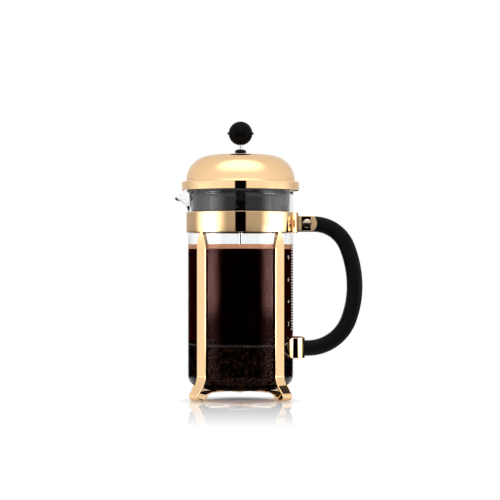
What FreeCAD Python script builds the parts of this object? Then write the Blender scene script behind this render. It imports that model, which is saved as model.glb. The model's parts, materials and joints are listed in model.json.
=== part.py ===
"""One-litre french press: a glass beaker in a gilded strap frame, with a lid and a plunger.

Millimetres. +Z is up, the beaker's axis is Z, and the feet stand on Z = 0. The handle points along +X and
the pouring spout along -X. The plunger is at rest near the bottom of its travel.
"""

import FreeCAD
import Part

import math
import os

V = FreeCAD.Vector
ORIGIN = V(0, 0, 0)
UP = V(0, 0, 1)
OUT = "parts"

# ---- driving dimensions -------------------------------------------------------------------------------

BEAKER_R = 47.5
BEAKER_WALL = 1.8
BEAKER_FLOOR = 2.6
BEAKER_CORNER_R = 13.0
BEAKER_TOP = 189.2
BEAKER_LIP_R = 49.2
SPOUT_FROM = 165.9
SPOUT_REACH = 10.2
SPOUT_RISE = 11.0
SPOUT_POWER = 2.6
SPOUT_MAX_REACH = 14.0

STRAP_T = 1.2
STRAP_W = 11.0
STRAP_BASE_TOP = 8.0
STRAP_LEG_R = 48.5
STRAP_TONGUE_W = 3.8
STRAP_JOGGLE = STRAP_T
RIVET_R = 2.5

BAND_R = 48.0
BAND_T = 1.1
BAND_LOW = 148.2
BAND_H = 18.2
BAND_WRAP_STOP = 14.5
BAND_ROOT_BEND = 4.5
TAB_CROWN_R = 43.0
TAB_X = 59.5
TAB_Z = 156.4
TAB_HALF_H = 6.65
TAB_END_R = 8.8
TAB_STEP_X = 51.8
CLAMP_SCREW_R = 2.0

HANDLE_Z = 156.0
HANDLE_H = 14.0
HANDLE_TOP_W = 15.9
HANDLE_GRIP_W = 20.0
HANDLE_FOOT_W = 17.0
HANDLE_SQUARENESS = 3.2

BRACKET_T = 1.1
BRACKET_Z = 45.3
BRACKET_H = 18.2
BRACKET_TONGUE_H = 7.2
BRACKET_SIDE_Y = 17.5

LID_TOP = 219.7
LID_RIM_R = 53.05
LID_RIM_LOW = 186.1
LID_SHEET = 0.8
LID_SHOULDER_R = 23.1
LID_SHOULDER_AT = 26.05
LID_SHOULDER_Z = 194.8
LID_CROWN_SLOPE = 8.0
INSERT_LOW = 167.0
INSERT_FLANGE_Z = 189.4
INSERT_FLANGE_T = 2.0
INSERT_WALL = 1.8

ROD_R = 2.0
ROD_LOW = 40.6
ROD_FIT = 0.06
KNOB_Z = 237.6
KNOB_R = 10.7
KNOB_RING_R = 12.0
BUSH_R = 5.2
BUSH_TOP = 223.0
BUSH_SLEEVE_R = 3.6
TURN_FIT = 0.1

FILTER_Z = 47.95
COIL_AT_R = 43.15
COIL_TUBE_R = 2.1
PLATE_T = 0.7
MESH_T = 0.4
CROSS_T = 1.2


# ---- helpers ------------------------------------------------------------------------------------------


def in_xy(z):
    """Maps a flat path onto the horizontal plane at height z."""
    return lambda u, v: V(u, v, z)


def in_upright(azimuth_deg):
    """Maps a flat path (radius, height) onto the upright plane at an azimuth about Z."""
    a = math.radians(azimuth_deg)
    return lambda u, v: V(u * math.cos(a), u * math.sin(a), v)


class BendPath:
    """A flat path walked as straight runs and tangent bends, the way a strip is bent."""

    def __init__(self, u, v, heading_deg):
        self.u, self.v, self.heading = u, v, math.radians(heading_deg)
        self.pieces = []

    def run(self, length):
        """Goes straight ahead."""
        start = (self.u, self.v)
        self.u += length * math.cos(self.heading)
        self.v += length * math.sin(self.heading)
        self.pieces.append(("run", start, self.heading, length))
        return self

    def bend(self, radius, turn_deg):
        """Turns left (positive) or right about a centre beside the path."""
        turn = math.radians(turn_deg)
        side = 1 if turn > 0 else -1
        cu = self.u - side * radius * math.sin(self.heading)
        cv = self.v + side * radius * math.cos(self.heading)
        self.pieces.append(("bend", (cu, cv), self.heading, radius, turn))
        self.heading += turn
        self.u = cu + side * radius * math.sin(self.heading)
        self.v = cv - side * radius * math.cos(self.heading)
        return self

    @staticmethod
    def place(piece, share, offset):
        """The point at a share of one piece, shifted to the path's left by offset."""
        if piece[0] == "run":
            _, (u, v), h, length = piece
            s = share * length
            return (
                u + s * math.cos(h) - offset * math.sin(h),
                v + s * math.sin(h) + offset * math.cos(h),
            )
        _, (cu, cv), h, radius, turn = piece
        side = 1 if turn > 0 else -1
        r = radius - side * offset
        h = h + share * turn
        return cu + side * r * math.sin(h), cv - side * r * math.cos(h)

    def line(self, offset, place_3d):
        """The path's edges, shifted to its left by offset, as 3-D edges in order."""
        edges = []
        for piece in self.pieces:
            a, m, b = (place_3d(*self.place(piece, s, offset)) for s in (0, 0.5, 1))
            if piece[0] == "run":
                edges.append(Part.LineSegment(a, b).toShape())
            else:
                edges.append(Part.Arc(a, m, b).toShape())
        return edges

    def strip(self, thickness, place_3d):
        """A face along the path, half of the thickness on each side."""
        half = thickness / 2
        left = self.line(half, place_3d)
        right = self.line(-half, place_3d)
        caps = []
        for piece, share in ((self.pieces[-1], 1), (self.pieces[0], 0)):
            ends = [place_3d(*self.place(piece, share, d)) for d in (half, -half)]
            caps.append(Part.LineSegment(*ends).toShape())
        return Part.Face(Part.Wire(Part.__sortEdges__(left + right + caps)))

    def stations(self, spacing):
        """Points along the path with their headings, about one spacing apart."""
        found = []
        for piece in self.pieces:
            length = piece[3] if piece[0] == "run" else piece[3] * abs(piece[4])
            steps = max(1, round(length / spacing))
            for i in range(steps):
                share = i / steps
                turn = 0 if piece[0] == "run" else piece[4]
                found.append((*self.place(piece, share, 0), piece[2] + share * turn))
        found.append((self.u, self.v, self.heading))
        return found


def polygon(points):
    """A flat face through 3-D points."""
    return Part.Face(Part.makePolygon([*points, points[0]]))


def turned(points):
    """A solid of revolution about Z from (radius, height) points joined by straight lines."""
    return polygon([V(r, 0, z) for r, z in points]).revolve(ORIGIN, UP, 360)


def tube(r_out, r_in, low, high):
    """A straight tube about Z."""
    outer = Part.makeCylinder(r_out, high - low, V(0, 0, low))
    return outer.cut(Part.makeCylinder(r_in, high - low + 2, V(0, 0, low - 1)))


def rounded(shape, radius, keep):
    """Rounds the edges for which keep(edge) is true."""
    return shape.makeFillet(radius, [e for e in shape.Edges if keep(e)])


def mirrored_y(shape):
    """The shape's mirror image across the plane Y = 0."""
    return shape.mirror(ORIGIN, V(0, 1, 0))


def box(low, high):
    """A box between two corners."""
    return Part.makeBox(*(b - a for a, b in zip(low, high)), V(*low))


def export(name, shape):
    """Writes one sub-part and reports its volume."""
    shape = shape.removeSplitter()
    solids = shape.Solids
    shape = solids[0] if len(solids) == 1 else Part.makeCompound(solids)
    shape.exportStep(os.path.join(OUT, f"{name}.step"))
    print(f"{name}: {len(solids)} solid(s), {shape.Volume:.1f} mm3, valid {shape.isValid()}")


# ---- beaker -------------------------------------------------------------------------------------------


def spout_reach(z):
    """How far the spout's underside stands out from the beaker's wall at a height."""
    if z <= SPOUT_FROM:
        return 0.0
    reach = SPOUT_REACH * ((z - SPOUT_FROM) / SPOUT_RISE) ** SPOUT_POWER
    return min(reach, SPOUT_MAX_REACH)


def spout_section(radius, reach, half_width, z):
    """A closed horizontal outline: a circle with one smooth lobe towards -X."""
    points = []
    steps = 72
    for i in range(steps):
        a = 2 * math.pi * i / steps
        off = math.atan2(math.sin(a - math.pi), math.cos(a - math.pi))
        share = abs(off) * radius / half_width
        lobe = (1 - share**2) ** 2 if share < 1 else 0.0
        r = radius + reach * lobe
        points.append(V(r * math.cos(a), r * math.sin(a), z))
    curve = Part.BSplineCurve()
    curve.interpolate(points, PeriodicFlag=True)
    return Part.Wire(curve.toShape())


def spout_body(radius, lag):
    """The upper beaker's filled shape with its spout. lag lifts the inside above the outside."""
    low, high, steps = 160.0, BEAKER_TOP + 4, 12
    levels = [SPOUT_FROM - 2.4, SPOUT_FROM - 1.2] + [SPOUT_FROM + (high - SPOUT_FROM) * i / steps for i in range(steps + 1)]
    wires = []
    for z in levels:
        half_width = 10 + 9 * (z - low) / (high - low)
        wires.append(spout_section(radius, spout_reach(z - lag), half_width + radius * 0.06, z))
    return Part.makeLoft(wires, True, False)


def beaker_shell(radius, low, corner, lip_r, lip_low):
    """The filled round beaker: flat floor, round corner, straight wall and a slightly flared lip."""
    wall_top = lip_low - 3.0
    points = [V(0, 0, low), V(radius - corner, 0, low)]
    k = math.sqrt(0.5)
    edges = [
        Part.LineSegment(*points).toShape(),
        Part.Arc(
            points[1],
            V(radius - corner + corner * k, 0, low + corner - corner * k),
            V(radius, 0, low + corner),
        ).toShape(),
        Part.LineSegment(V(radius, 0, low + corner), V(radius, 0, wall_top)).toShape(),
    ]
    flare = Part.BSplineCurve()
    flare.interpolate(
        [V(radius, 0, wall_top), V((radius + lip_r) / 2, 0, (wall_top + lip_low) / 2), V(lip_r, 0, lip_low)],
        InitialTangent=UP,
        FinalTangent=UP,
    )
    high = BEAKER_TOP + 4
    edges += [
        flare.toShape(),
        Part.LineSegment(V(lip_r, 0, lip_low), V(lip_r, 0, high)).toShape(),
        Part.LineSegment(V(lip_r, 0, high), V(0, 0, high)).toShape(),
        Part.LineSegment(V(0, 0, high), V(0, 0, low)).toShape(),
    ]
    return Part.Face(Part.Wire(edges)).revolve(ORIGIN, UP, 360)


def glass_beaker():
    """The borosilicate beaker with its pouring spout."""
    floor = STRAP_BASE_TOP + 0.1
    inner_r = BEAKER_R - BEAKER_WALL
    outside = beaker_shell(BEAKER_R, floor, BEAKER_CORNER_R, BEAKER_LIP_R, 186.6)
    outside = outside.fuse(spout_body(BEAKER_R - 0.25, 0.0))
    inside = beaker_shell(
        inner_r, floor + BEAKER_FLOOR, BEAKER_CORNER_R - BEAKER_WALL, inner_r + 1.1, 187.4
    )
    inside = inside.fuse(spout_body(inner_r - 0.25, 1.3))
    glass = outside.cut(inside)
    far = 90.0
    lip = Part.BSplineCurve()
    lip.interpolate(
        [V(-66, 0, 171.5), V(-60.4, 0, 177.6), V(-54.6, 0, 183.0), V(-50, 0, 186.4), V(-43, 0, BEAKER_TOP)],
        FinalTangent=V(1, 0, 0.12),
    )
    trim = [
        lip.toShape(),
        Part.LineSegment(V(-43, 0, BEAKER_TOP), V(far, 0, BEAKER_TOP)).toShape(),
        Part.LineSegment(V(far, 0, BEAKER_TOP), V(far, 0, 260)).toShape(),
        Part.LineSegment(V(far, 0, 260), V(-66, 0, 260)).toShape(),
        Part.LineSegment(V(-66, 0, 260), V(-66, 0, 171.5)).toShape(),
    ]
    cutter = Part.Face(Part.Wire(trim)).extrude(V(0, 2 * far, 0))
    cutter.translate(V(0, -far, 0))
    return glass.cut(cutter)


# ---- frame --------------------------------------------------------------------------------------------


def half_strap_path(joggle):
    """One leg in the (radius, height) plane, walked from the base's centre out and up to the band."""
    mid = STRAP_BASE_TOP - STRAP_T / 2
    path = BendPath(0, mid - joggle, 0)
    if joggle:
        ramp, ramp_bend = 25.0, 1.2
        rise = joggle - 2 * ramp_bend * (1 - math.cos(math.radians(ramp)))
        path.run(8.0).bend(ramp_bend, ramp).run(rise / math.sin(math.radians(ramp))).bend(ramp_bend, -ramp)
    slope, foot_r, flat, leg_bend = 40.0, 3.3, 1.6, 16.0
    first_bend = 12.0
    foot_drop = foot_r * (1 - math.cos(math.radians(slope)))
    bend_drop = first_bend * (1 - math.cos(math.radians(slope)))
    run_drop = path.v - STRAP_T / 2 - foot_drop - bend_drop
    path.run(39.4 - path.u).bend(first_bend, -slope)
    path.run(run_drop / math.sin(math.radians(slope))).bend(foot_r, slope).run(flat)
    path.bend(foot_r, 90 + slope)
    lean = math.radians(90 - slope)
    inward = path.u - STRAP_LEG_R - leg_bend * (1 - math.cos(math.radians(slope)))
    path.run(inward / math.cos(lean)).bend(leg_bend, -slope)
    path.run(BAND_LOW - path.v)
    return path


def leg_outline():
    """The strap's outline seen along its radius: full width, drawn in to a tongue at the band."""
    half, tongue = STRAP_W / 2, STRAP_TONGUE_W / 2
    shoulder, neck = BAND_LOW - 15.2, BAND_LOW
    side = [V(0, half, shoulder), V(0, 5.0, 138.4), V(0, 4.15, 141.6), V(0, 3.05, 145.1), V(0, tongue, neck)]
    left = Part.BSplineCurve()
    left.interpolate(side, InitialTangent=UP, FinalTangent=V(0, -0.1, 1))
    right = Part.BSplineCurve()
    right.interpolate([V(0, -p.y, p.z) for p in side], InitialTangent=UP, FinalTangent=V(0, 0.1, 1))
    edges = [
        left.toShape(),
        Part.LineSegment(side[-1], V(0, -tongue, neck)).toShape(),
        right.toShape(),
        Part.LineSegment(V(0, -half, shoulder), V(0, -half, -1)).toShape(),
        Part.LineSegment(V(0, -half, -1), V(0, half, -1)).toShape(),
        Part.LineSegment(V(0, half, -1), side[0]).toShape(),
    ]
    return Part.Face(Part.Wire(Part.__sortEdges__(edges)))


def u_strap(azimuth_deg, joggle):
    """One strap bent into two legs, two feet and the base run between them."""
    half = half_strap_path(joggle).strip(STRAP_T, in_upright(0)).extrude(V(0, STRAP_W, 0))
    half.translate(V(0, -STRAP_W / 2, 0))
    half = half.common(leg_outline().extrude(V(80, 0, 0)))
    other = half.mirror(ORIGIN, V(1, 0, 0))
    strap = half.fuse(other).removeSplitter()
    strap = strap.cut(Part.makeCylinder(RIVET_R / 2 + 0.05, 20, V(0, 0, -5)))
    strap.rotate(ORIGIN, UP, azimuth_deg)
    return strap


def base_rivet():
    """The rivet that holds the two straps where they cross."""
    top = STRAP_BASE_TOP
    low = STRAP_BASE_TOP - STRAP_T - STRAP_JOGGLE
    shank = Part.makeCylinder(RIVET_R / 2, top - low, V(0, 0, low))
    head = Part.makeSphere(6.0, V(0, 0, low - 1.1 + 6.0))
    head = head.common(Part.makeCylinder(RIVET_R, 1.1, V(0, 0, low - 1.1)))
    return shank.fuse(head)


def tab_half_spread():
    """Half of the clamp tab's turn on the side next to the ring, in degrees."""
    ring = BAND_R + BAND_T / 2 + BAND_ROOT_BEND
    reach = TAB_X - ring * math.cos(math.radians(BAND_WRAP_STOP))
    return math.degrees(math.asin(reach / (BAND_ROOT_BEND + TAB_CROWN_R)))


def tab_apex_y():
    """How far the clamp tab's middle line stands from the plane Y = 0."""
    ring = BAND_R + BAND_T / 2 + BAND_ROOT_BEND
    spread = math.radians(tab_half_spread())
    bulge = TAB_CROWN_R * (1 - math.cos(spread))
    return ring * math.sin(math.radians(BAND_WRAP_STOP)) - BAND_ROOT_BEND * math.cos(spread) + bulge


def tab_outline():
    """The band's outline seen along Y, with the lower, round-ended clamp tab at the handle."""
    low, high = BAND_LOW, BAND_LOW + BAND_H
    rise = math.asin(TAB_HALF_H / TAB_END_R)
    end_x = TAB_X + TAB_END_R * math.cos(rise)
    corner = 1.4
    path = [
        V(-60, 0, low),
        V(TAB_STEP_X - corner, 0, low),
        V(TAB_STEP_X, 0, low + corner),
        V(TAB_STEP_X, 0, TAB_Z - TAB_HALF_H),
        V(end_x, 0, TAB_Z - TAB_HALF_H),
        V(end_x, 0, TAB_Z + TAB_HALF_H),
        V(TAB_STEP_X, 0, TAB_Z + TAB_HALF_H),
        V(TAB_STEP_X, 0, high - corner),
        V(TAB_STEP_X - corner, 0, high),
        V(-60, 0, high),
    ]
    edges = [Part.LineSegment(a, b).toShape() for a, b in zip(path, path[1:] + path[:1])]
    edges[4] = Part.Arc(path[4], V(TAB_X + TAB_END_R, 0, TAB_Z), path[5]).toShape()
    return Part.Face(Part.Wire(edges))


def frame_band():
    """The upper ring, one strip whose ends turn out into the two clamp tabs."""
    mid = BAND_R + BAND_T / 2
    spread = tab_half_spread()
    end_spread = math.degrees(math.asin((TAB_END_R + 0.2) / TAB_CROWN_R))
    path = BendPath(-mid, 0, -90).bend(mid, 180 - BAND_WRAP_STOP)
    path.bend(BAND_ROOT_BEND, -(90 - BAND_WRAP_STOP + spread)).bend(TAB_CROWN_R, spread + end_spread)
    half = path.strip(BAND_T, in_xy(BAND_LOW - 1)).extrude(V(0, 0, BAND_H + 2))
    outline = tab_outline().extrude(V(0, -80, 0))
    half = half.common(outline)
    band = half.fuse(mirrored_y(half))
    hole = Part.makeCylinder(CLAMP_SCREW_R + 0.15, 60, V(TAB_X, -30, TAB_Z), V(0, 1, 0))
    return band.cut(hole)


def handle_bracket(straps):
    """The lower loop: tongues welded to the two legs beside the handle, and a slotted outer wall."""
    mid_r, root, outer_bend = 48.8, 2.5, 9.8
    stop = math.degrees(math.asin((BRACKET_SIDE_Y + root) / (mid_r + root)))
    start = 38.9
    a = math.radians(start)
    path = BendPath(mid_r * math.cos(a), -mid_r * math.sin(a), 90 - start)
    path.bend(mid_r, start - stop).bend(root, stop - 90).bend(outer_bend, 90).run(
        BRACKET_SIDE_Y - outer_bend
    )
    low, high = BRACKET_Z - BRACKET_H / 2, BRACKET_Z + BRACKET_H / 2
    half = path.strip(BRACKET_T, in_xy(low)).extrude(V(0, 0, BRACKET_H))
    tongue = BRACKET_TONGUE_H / 2
    outline = polygon(
        [
            V(30, 0, BRACKET_Z - tongue),
            V(39.1, 0, BRACKET_Z - tongue),
            V(45.4, 0, low),
            V(65, 0, low),
            V(65, 0, high),
            V(45.4, 0, high),
            V(39.1, 0, BRACKET_Z + tongue),
            V(30, 0, BRACKET_Z + tongue),
        ]
    ).extrude(V(0, -80, 0))
    half = half.common(outline)
    bracket = half.fuse(mirrored_y(half))
    slot = box((50, -5.2, handle_foot_z() - 6.1), (65, 5.2, 90))
    bracket = bracket.cut(slot)
    for strap in straps:
        bracket = bracket.cut(strap)
    return bracket


def handle_path():
    """The handle's centre line in the (X, Z) plane, from the clamp tabs down to the bracket."""
    path = BendPath(48.0, HANDLE_Z, 0).run(17.9)
    path.bend(32.1, -68.2).bend(96.4, -21.8).bend(85.0, -20.7).bend(39.3, -69.3)
    return path.run(path.u - 57.8)


def handle_foot_z():
    """Height of the handle's centre line at the lower bracket."""
    return handle_path().v


def handle_section(x, z, heading, width, height):
    """A squared oval across the handle's centre line."""
    points = []
    steps = 24
    power = 2 / HANDLE_SQUARENESS
    for i in range(steps):
        a = 2 * math.pi * (i + 0.5) / steps
        c, s = math.cos(a), math.sin(a)
        across = math.copysign(abs(c) ** power, c) * width / 2
        along = math.copysign(abs(s) ** power, s) * height / 2
        points.append(V(x - along * math.sin(heading), across, z + along * math.cos(heading)))
    curve = Part.BSplineCurve()
    curve.interpolate(points, PeriodicFlag=True)
    return Part.Wire(curve.toShape())


def handle_width(share):
    """The handle's width along its length: narrow at both ends, fullest at the grip."""
    ends = HANDLE_TOP_W + (HANDLE_FOOT_W - HANDLE_TOP_W) * share
    swell = math.sin(math.pi * min(1, max(0, (share - 0.12) / 0.84))) ** 1.3
    return ends + (HANDLE_GRIP_W - ends) * swell


def handle():
    """The moulded grip, with a screw bore at the top and a hooked foot for the bracket."""
    stations = handle_path().stations(9.0)
    wires = []
    for i, (x, z, heading) in enumerate(stations):
        share = i / (len(stations) - 1)
        wires.append(handle_section(x, z, heading, handle_width(share), HANDLE_H))
    grip = Part.makeLoft(wires, True, False)
    foot = handle_foot_z()
    wall_x = 57.05
    neck = box((wall_x - 2, -5.0, foot - 6.0), (wall_x + 2, 5.0, foot + 6.0))
    head = box((49.9, -11.0, foot - 6.0), (wall_x - 0.75, 11.0, foot + 6.3))
    head = rounded(head, 2.9, lambda e: abs(e.tangentAt(e.FirstParameter).y) < 0.5)
    body = grip.fuse(neck).fuse(head)
    bore = Part.makeCylinder(CLAMP_SCREW_R + 0.1, 60, V(TAB_X, -30, TAB_Z), V(0, 1, 0))
    return body.cut(bore).cut(Part.makeCylinder(48.3, 60, V(0, 0, 120)))


def clamp_screw():
    """Slotted screw that draws the clamp tabs onto the handle."""
    y_face = tab_apex_y() + BAND_T / 2
    along = V(0, 1, 0)
    head = Part.makeCylinder(4.2, 1.5, V(TAB_X, -y_face - 1.5, TAB_Z), along)
    dome = Part.makeSphere(8.5, V(TAB_X, -y_face - 2.4 + 8.5, TAB_Z))
    dome = dome.common(Part.makeCylinder(4.2, 3.0, V(TAB_X, -y_face - 3.0, TAB_Z), along))
    dome = dome.cut(box((TAB_X - 9, -y_face - 1.0, TAB_Z - 9), (TAB_X + 9, 9, TAB_Z + 9)))
    body = head.fuse(dome)
    slot = box((TAB_X - 9, -y_face - 4.0, TAB_Z - 0.45), (TAB_X + 9, -y_face - 1.2, TAB_Z + 0.45))
    shank = Part.makeCylinder(CLAMP_SCREW_R, 2 * y_face + 2.6, V(TAB_X, -y_face, TAB_Z), along)
    return body.cut(slot).fuse(shank)


def clamp_nut():
    """Domed cap nut on the far side of the handle."""
    y_face = tab_apex_y() + BAND_T / 2
    flats, high = 7.0, 2.8
    corners = [math.radians(60 * i + 30) for i in range(6)]
    r = flats / math.sqrt(3)
    hexagon = polygon([V(TAB_X + r * math.cos(a), y_face, TAB_Z + r * math.sin(a)) for a in corners])
    body = hexagon.extrude(V(0, high, 0))
    cap = Part.makeSphere(3.3, V(TAB_X, y_face + high - 0.2, TAB_Z))
    cap = cap.common(box((TAB_X - 5, y_face + high - 0.2, TAB_Z - 5), (TAB_X + 5, 40, TAB_Z + 5)))
    bore = Part.makeCylinder(CLAMP_SCREW_R + 0.02, 2.8, V(TAB_X, y_face, TAB_Z), V(0, 1, 0))
    return body.fuse(cap).cut(bore)


# ---- lid ----------------------------------------------------------------------------------------------


def lid_dome():
    """The spun dome: a nearly flat crown, a round shoulder and a turned-down rim."""
    half = LID_SHEET / 2
    shoulder = LID_SHOULDER_R - half
    slope = math.radians(LID_CROWN_SLOPE)
    crown_end = LID_SHOULDER_AT + shoulder * math.sin(slope)
    crown_r = crown_end / math.sin(slope)
    hole = BUSH_SLEEVE_R + TURN_FIT
    start = math.degrees(math.asin(hole / crown_r))
    top = LID_SHOULDER_Z + shoulder * math.cos(slope) + crown_r * (1 - math.cos(slope))
    begin_v = top - crown_r * (1 - math.cos(math.radians(start)))
    path = BendPath(hole, begin_v, -start).bend(crown_r, start - LID_CROWN_SLOPE)
    path.bend(shoulder, LID_CROWN_SLOPE - 90)
    root, shoulder_out = 1.2, 0.9
    path.bend(root, 90).run(LID_RIM_R - half - shoulder_out - path.u).bend(shoulder_out, -90)
    path.run(path.v - LID_RIM_LOW)
    return path.strip(LID_SHEET, in_upright(0)).revolve(ORIGIN, UP, 360)


def lid_insert():
    """The moulded liner: a disc over the beaker's lip, a skirt inside it, and pouring slots."""
    low, flange = INSERT_LOW, INSERT_FLANGE_Z
    top = flange + INSERT_FLANGE_T
    r_top, r_low = 45.15, 44.3
    hole = ROD_R + 0.6
    disc = turned([(hole, flange), (51.9, flange), (51.9, top), (hole, top)])
    skirt = turned(
        [
            (r_low - INSERT_WALL, low),
            (r_low, low),
            (r_top, flange + 0.5),
            (r_top - INSERT_WALL, flange + 0.5),
        ]
    )
    boss = turned([(hole, top - 0.5), (7.0, top - 0.5), (5.2, top + 6), (hole, top + 6)])
    body = disc.fuse(skirt).fuse(boss)
    slot_w, slots, step = 2.2, 9, 5.4
    for i in range(slots):
        slot = box((-60, -slot_w / 2, low + 4.5), (-30, slot_w / 2, flange - 3.5))
        slot.rotate(ORIGIN, UP, (i - (slots - 1) / 2) * step)
        body = body.cut(slot)
    return body


def rod_bushing():
    """The flanged guide that the plunger's rod slides in."""
    bore = ROD_R + ROD_FIT
    seat = LID_TOP + 0.1
    low = seat - 5.5
    cap_edge = 2.2
    face = polygon(
        [
            V(bore, 0, low),
            V(BUSH_SLEEVE_R, 0, low),
            V(BUSH_SLEEVE_R, 0, seat),
            V(BUSH_R, 0, seat),
            V(BUSH_R, 0, BUSH_TOP),
            V(bore, 0, BUSH_TOP),
        ]
    )
    body = face.revolve(ORIGIN, UP, 360)
    return rounded(
        body, cap_edge, lambda e: abs(e.BoundBox.ZMin - BUSH_TOP) < 1e-6 and e.BoundBox.XMax > BUSH_R - 0.1
    )


def bushing_nut():
    """The ring under the crown that keeps the guide in the lid."""
    low = LID_TOP - 4.0
    ring = tube(6.4, BUSH_SLEEVE_R, low, low + 2.6)
    for turn in range(0, 360, 60):
        notch = box((5.6, -0.9, low - 1), (8, 0.9, low + 4))
        notch.rotate(ORIGIN, UP, turn)
        ring = ring.cut(notch)
    return ring


# ---- plunger ------------------------------------------------------------------------------------------


def knob_upper():
    """The knob's upper shell."""
    ball = Part.makeSphere(KNOB_R, V(0, 0, KNOB_Z))
    ball = ball.common(box((-20, -20, KNOB_Z + 0.9), (20, 20, KNOB_Z + 20)))
    return ball.cut(Part.makeCylinder(3.5, 4.1, V(0, 0, KNOB_Z)))


def knob_lower():
    """The knob's lower shell, with the ring round its equator."""
    ball = Part.makeSphere(KNOB_R, V(0, 0, KNOB_Z))
    ball = ball.common(box((-20, -20, KNOB_Z - 20), (20, 20, KNOB_Z + 0.9)))
    ring = turned(
        [
            (8.0, KNOB_Z - 1.3),
            (KNOB_R - 0.2, KNOB_Z - 1.3),
            (KNOB_RING_R, KNOB_Z - 0.4),
            (KNOB_RING_R, KNOB_Z + 0.4),
            (KNOB_R + 0.3, KNOB_Z + 0.9),
            (8.0, KNOB_Z + 0.9),
        ]
    )
    body = ball.fuse(ring)
    body = body.cut(Part.makeCylinder(3.5, 20, V(0, 0, KNOB_Z - 7.5)))
    return body.cut(Part.makeCylinder(ROD_R + 0.02, 30, V(0, 0, KNOB_Z - 20)))


def knob_insert():
    """The threaded metal insert moulded into the knob, which screws onto the rod."""
    low, high = KNOB_Z - 7.5, KNOB_Z + 4.0
    body = Part.makeCylinder(3.5, high - low, V(0, 0, low))
    body = body.cut(Part.makeCylinder(ROD_R + 0.02, 10.5, V(0, 0, low)))
    for z in (low + 3, low + 6):
        body = body.cut(tube(4.5, 3.1, z, z + 0.8))
    return body.common(Part.makeCylinder(3.5, high - low, V(0, 0, low)))


def plunger_rod():
    """The straight steel rod, with a thread relief at each end."""
    top = KNOB_Z + 2.8
    rod = Part.makeCylinder(ROD_R, top - ROD_LOW, V(0, 0, ROD_LOW))
    rod = rod.makeChamfer(0.4, [e for e in rod.Edges if e.Closed])
    return rod.cut(tube(ROD_R + 1, ROD_R - 0.25, 53.2, 54.0))


def rod_nut():
    """The hexagon nut that clamps the filter stack against the cross plate."""
    low, high = FILTER_Z - 1.35, FILTER_Z + 2.0
    r = 7.0 / math.sqrt(3)
    corners = [math.radians(60 * i) for i in range(6)]
    body = polygon([V(r * math.cos(a), r * math.sin(a), low) for a in corners]).extrude(V(0, 0, high - low))
    return body.cut(Part.makeCylinder(ROD_R + 0.02, 20, V(0, 0, low - 5)))


def spiral_plate():
    """The dished, perforated plate whose edge carries the coil."""
    floor = FILTER_Z - 1.7
    path = BendPath(ROD_R + 0.1, floor, 0).run(33.0).bend(2.0, 35)
    rise = FILTER_Z - floor - 2 * 2.0 * (1 - math.cos(math.radians(35)))
    path.run(rise / math.sin(math.radians(35))).bend(2.0, -35).run(COIL_AT_R - path.u)
    plate = path.strip(PLATE_T, in_upright(0)).revolve(ORIGIN, UP, 360)
    drills = []
    for ring_r, count in ((10, 8), (16, 14), (22, 20), (28, 26)):
        for i in range(count):
            a = 2 * math.pi * (i + 0.5 * (ring_r % 4 == 0)) / count
            drills.append(
                Part.makeCylinder(1.7, 6, V(ring_r * math.cos(a), ring_r * math.sin(a), floor - 3))
            )
    return plate.cut(Part.makeCompound(drills))


def edge_coil(plate):
    """The outer shape of the coil spring that wipes the glass."""
    ring = Part.makeTorus(COIL_AT_R, COIL_TUBE_R, V(0, 0, FILTER_Z))
    slit = tube(COIL_AT_R + 0.05, 30, FILTER_Z - PLATE_T / 2 - 0.02, FILTER_Z + PLATE_T / 2 + 0.02)
    return ring.cut(slit)


def mesh_filter():
    """The woven steel disc, with its edge turned up round the coil's underside."""
    bend = COIL_TUBE_R + 0.1 + MESH_T / 2
    path = BendPath(ROD_R + 0.1, FILTER_Z - bend, 0).run(COIL_AT_R - ROD_R - 0.1).bend(bend, 45)
    return path.strip(MESH_T, in_upright(0)).revolve(ORIGIN, UP, 360)


def cross_plate():
    """The lower plate: a rim and six spokes round a threaded hub."""
    top = FILTER_Z - COIL_TUBE_R - 0.1 - MESH_T
    low = top - CROSS_T
    disc = tube(41.5, ROD_R + 0.02, low, top)
    windows = []
    for i in range(6):
        window = tube(36.0, 10.5, low - 1, top + 1)
        window = window.common(
            polygon(
                [
                    V(4.5, 2.4, low - 1),
                    V(60, 2.4, low - 1),
                    V(60 * math.cos(math.pi / 3), 60 * math.sin(math.pi / 3), low - 1),
                    V(
                        4.5 * math.cos(math.pi / 3) + 2.4 * math.sin(math.pi / 3),
                        4.5 * math.sin(math.pi / 3) - 2.4 * math.cos(math.pi / 3),
                        low - 1,
                    ),
                ]
            ).extrude(V(0, 0, CROSS_T + 2))
        )
        window.rotate(ORIGIN, UP, 60 * i)
        windows.append(window)
    plate = disc.cut(Part.makeCompound(windows))
    hub = tube(4.6, ROD_R + 0.02, ROD_LOW + 0.3, low + 0.1)
    stiffener = tube(41.5, 40.3, low - 1.0, low + 0.1)
    return plate.fuse(hub).fuse(stiffener)


# ---- assembly -----------------------------------------------------------------------------------------


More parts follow.
